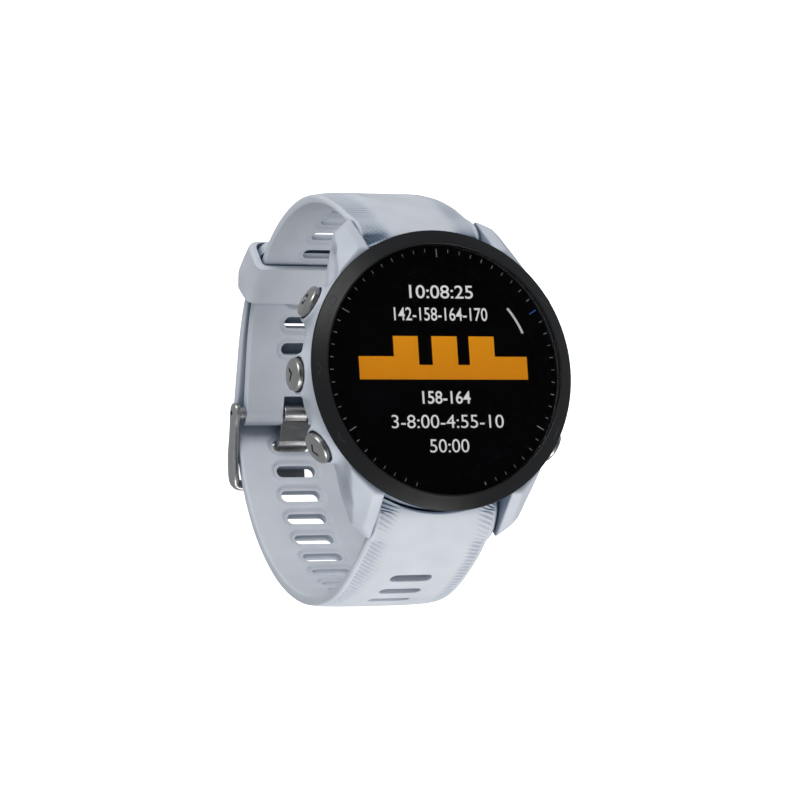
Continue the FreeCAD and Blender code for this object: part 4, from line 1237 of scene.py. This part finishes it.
def smooth_path(knots, steps):
    """Points on a smooth curve through rows of numbers."""
    rows = np.array(knots, float)
    rows = np.vstack([2 * rows[0] - rows[1], rows, 2 * rows[-1] - rows[-2]])
    t = np.linspace(0, 1, steps, endpoint=False)[:, None]
    curve = [0.5 * (2 * b + (c - a) * t + (2 * a - 5 * b + 4 * c - d) * t ** 2
                    + (3 * b - a - 3 * c + d) * t ** 3)
             for a, b, c, d in zip(rows, rows[1:], rows[2:], rows[3:])]
    return np.concatenate(curve + [rows[-2][None]])


def put_on_pin(piece, x, turn):
    """Turn a round piece's axis onto the buckle pin, with its foot at this x."""
    place = Matrix.Translation((x * MM, PIN_Y * MM, PIN_Z * MM))
    piece.data.transform(place @ Matrix.Rotation(turn, 4, "Y"))


def build_buckle():
    """Steel frame bent from one rod: round heads on the pin, curved arms and a far bar."""
    # x, y, z of the rod's middle, then half of its width and half of its thickness
    half = [(11.2, 4.60, -51.50, 0.30, 0.30), (11.2, 4.42, -51.57, 0.58, 0.80),
            (11.2, 3.85, -51.76, 0.74, 1.32), (11.2, PIN_Y, PIN_Z, 0.78, 1.52),
            (11.2, 1.9, -52.48, 0.78, 1.38), (11.2, 0.6, -52.95, 0.78, 1.15),
            (11.2, -1.5, -53.6, 0.78, 1.18), (11.2, -4.2, -54.4, 0.78, 1.45),
            (11.2, -6.7, -54.72, 0.78, 1.5), (11.15, -8.2, -54.85, 0.80, 1.3),
            (10.72, -9.3, -55.2, 0.88, 0.85), (9.6, -9.7, -55.3, 0.98, 0.65),
            (6.0, -9.7, -55.3, 1.0, 0.65), (0.0, -9.7, -55.3, 1.0, 0.65)]
    knots = half + [(-x, y, z, wide, thick) for x, y, z, wide, thick in reversed(half[:-1])]
    rows = smooth_path(knots, 6)
    spots = rows[:, :3]
    ahead = np.gradient(spots, axis=0)
    ahead /= np.linalg.norm(ahead, axis=1)[:, None]
    face = np.tile((0, -0.25, -0.968), (len(rows), 1))
    face = face - ahead * (face * ahead).sum(axis=1)[:, None]
    face /= np.linalg.norm(face, axis=1)[:, None]
    across = np.cross(ahead, face)
    turns = np.linspace(0, 2 * math.pi, 28, endpoint=False)
    squareness = 0.8
    wide, thick = (np.sign(wave) * np.abs(wave) ** squareness for wave in (np.cos(turns), np.sin(turns)))
    points = (spots[:, None] + across[:, None] * (rows[:, 3:4] * wide)[:, :, None]
              + face[:, None] * (rows[:, 4:5] * thick)[:, :, None])
    pieces = [tube("buckle_bow", points, buckle_steel)]
    boss = rounded([(0.8, 0, 0), (1.2, 0, 0), (1.2, 0.95, 0.1), (0.8, 0.95, 0)])
    # Each hole is a thin near-black disc on an arm's outer face at the pin's end: painted shade where the pin
    # hole is.
    hole = rounded([(0, 0, 0), (0.42, 0, 0), (0.42, 0.06, 0.02), (0, 0.06, 0)])
    for side, word in ((-1, "left"), (1, "right")):
        for kind, start, outline, material in (("boss", 9.65, boss, buckle_steel),
                                               ("hole", 11.94, hole, button_mark)):
            piece = lathe(f"buckle_{kind}_{word}", outline, material, 40)
            put_on_pin(piece, side * start, side * math.pi / 2)
            pieces.append(piece)
    for piece in pieces:
        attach(piece, "buckle")
    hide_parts("buckle_frame")


def build_tongue():
    """Steel tongue: barrel on the pin and a cranked blade."""
    outline = rounded([(PIN_Y, PIN_Z + 0.55, 0.2), (-2.2, -52.2, 0.6), (-3.0, -52.6, 0.7),
                       (-3.65, -55.4, 0.6), (-4.6, -56.1, 0.6), (-11.3, -56.1, 0.2),
                       (-11.1, -56.9, 0.3), (-4.5, -57.1, 1.2), (-2.75, -56.2, 1.0),
                       (-2.1, -53.3, 0.3), (-1.7, -53.15, 0.3), (PIN_Y, PIN_Z - 0.55, 0.2)])
    half_blade = 3.1
    half_barrel = 2.2
    left, right = ([(x, y, z) for y, z in outline] for x in (-half_blade, half_blade))
    blade = slab("tongue_blade", left, right, buckle_steel)
    edges = blade.modifiers.new("edges", "BEVEL")
    edges.width = 0.2 * MM
    edges.segments = 3
    edges.limit_method = "ANGLE"
    edges.angle_limit = math.radians(50)
    edges.harden_normals = True
    spots = np.array([v.co for v in blade.data.vertices])
    spots[:, 0] *= 1 - fade(spots[:, 1] / MM, -1.7, -0.7) * (1 - half_barrel / half_blade)
    blade.data.vertices.foreach_set("co", spots.ravel())
    blade.data.update()
    outline = rounded([(0.79, -half_barrel, 0), (1.5, -half_barrel, 0.15), (1.5, half_barrel, 0.15),
                       (0.79, half_barrel, 0)])
    barrel = lathe("tongue_barrel", outline, buckle_steel, 64)
    put_on_pin(barrel, 0, math.pi / 2)
    for piece in (blade, barrel):
        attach(piece, "tongue")
    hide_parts("tongue")


def build_bar_spring(name):
    """Coil spring in a spring bar, built at its rest length. The real spring shortens as the release tip is
    drawn in.
    """
    low, high = node_box(f"{name}_bar_spring")
    wire = 0.11
    turns = 7
    middle = (low + high) / 2
    radius = (high[2] - low[2]) / 2 - wire
    along = np.linspace(low[0] + wire, high[0] - wire, turns * 20 + 1)[:, None]
    turn = np.linspace(0, 2 * math.pi * turns, len(along))[:, None]
    round_wire = np.linspace(0, 2 * math.pi, 8, endpoint=False)[None, :]
    reach = radius + wire * np.cos(round_wire)
    points = np.stack([along + wire * np.sin(round_wire), middle[1] + reach * np.cos(turn),
                       middle[2] + reach * np.sin(turn)], axis=-1)
    piece = tube(f"{name}_bar_coil", points, spring_steel)
    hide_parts(f"{name}_bar_spring")
    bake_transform(piece)


# ---------------------------------------------------------------- stage
def build_floor():
    """Pale floor. It sends no light back onto the watch."""
    bpy.ops.mesh.primitive_plane_add(size=6, location=(0, 0, cad_low[2] - 0.0004))
    floor = bpy.context.object
    floor.name = "floor"
    pale = (0.93, 0.93, 0.94)
    paper = new_material("floor_paper", pale, 0.9, specular=0.1)
    vary_colour(paper, add_noise(paper, 40.0), pale, 0.0107)
    shader_of(paper).inputs["Emission Color"].default_value = (1, 1, 1, 1)
    shader_of(paper).inputs["Emission Strength"].default_value = 0.9
    floor.data.materials.append(paper)
    floor.visible_diffuse = False
    floor.visible_glossy = False


def build_world():
    """Soft white sky with a dark patch, which keeps the glass and the bezel black."""
    world = bpy.data.worlds.new("studio")
    bpy.context.scene.world = world
    world.use_nodes = True
    tree = world.node_tree
    sky = tree.nodes["Background"]
    sky.inputs["Strength"].default_value = 0.46
    dark_way = Vector((0.45, 0.08, 0.89))
    place = add_node(tree, "TexCoord")
    dot = add_node(tree, "VectorMath")
    dot.operation = "DOT_PRODUCT"
    dot.inputs[1].default_value = dark_way.normalized()
    wire(place, "Generated", dot, 0)
    ramp = add_ramp(tree, dot, "Value", (0.90, 0.95, 1.0), (0.02, 0.02, 0.022), 0.80, 0.94)
    wire(ramp, "Color", sky, "Color")


def build_lights():
    """Two soft lamps that face the watch."""
    for name, spot, power, colour in (("key", (-0.45, 0.70, 0.60), 5.5, (1.0, 1.0, 1.0)),
                                      ("fill", (0.20, -0.95, 0.42), 7.0, (1.0, 0.99, 0.98))):
        light = bpy.data.lights.new(name, "AREA")
        light.energy = power
        light.size = 0.5
        light.color = colour
        holder = link(bpy.data.objects.new(name, light))
        holder.location = spot
        holder.rotation_euler = (-Vector(spot)).to_track_quat("-Z", "Y").to_euler()


def build_camera():
    """Camera above the dial, over its 9 o'clock side, with the watch's 12 o'clock end up."""
    camera = bpy.data.cameras.new("camera")
    camera.lens = 162.28
    camera.clip_start = 0.01
    camera.clip_end = 10.0
    view = link(bpy.data.objects.new("camera", camera))
    spot = (-0.24348, -0.08764, 0.54134)
    back = Vector((-0.403, -0.1415, 0.9042)).normalized()
    right = Vector((0.9152, -0.0628, 0.398))
    right = (right - back * right.dot(back)).normalized()
    turn = Matrix((right, back.cross(right), back)).transposed().to_4x4()
    view.matrix_world = Matrix.Translation(spot) @ turn
    bpy.context.scene.camera = view


bpy.context.scene.view_settings.view_transform = "Standard"
build_floor()
build_world()
build_lights()
build_camera()
build_upper_strap()
build_lower_strap()
build_case_shell()
build_bezel()
build_lens()
build_print()
build_screen()
build_bezel_marks()
for number, (degrees, kind) in enumerate(zip(BUTTON_ANGLES, BUTTON_MARKS), start=1):
    build_button(number, degrees, kind)
build_keeper()
build_buckle()
build_tongue()
build_bar_spring("upper")
build_bar_spring("lower")

bpy.context.view_layer.update()
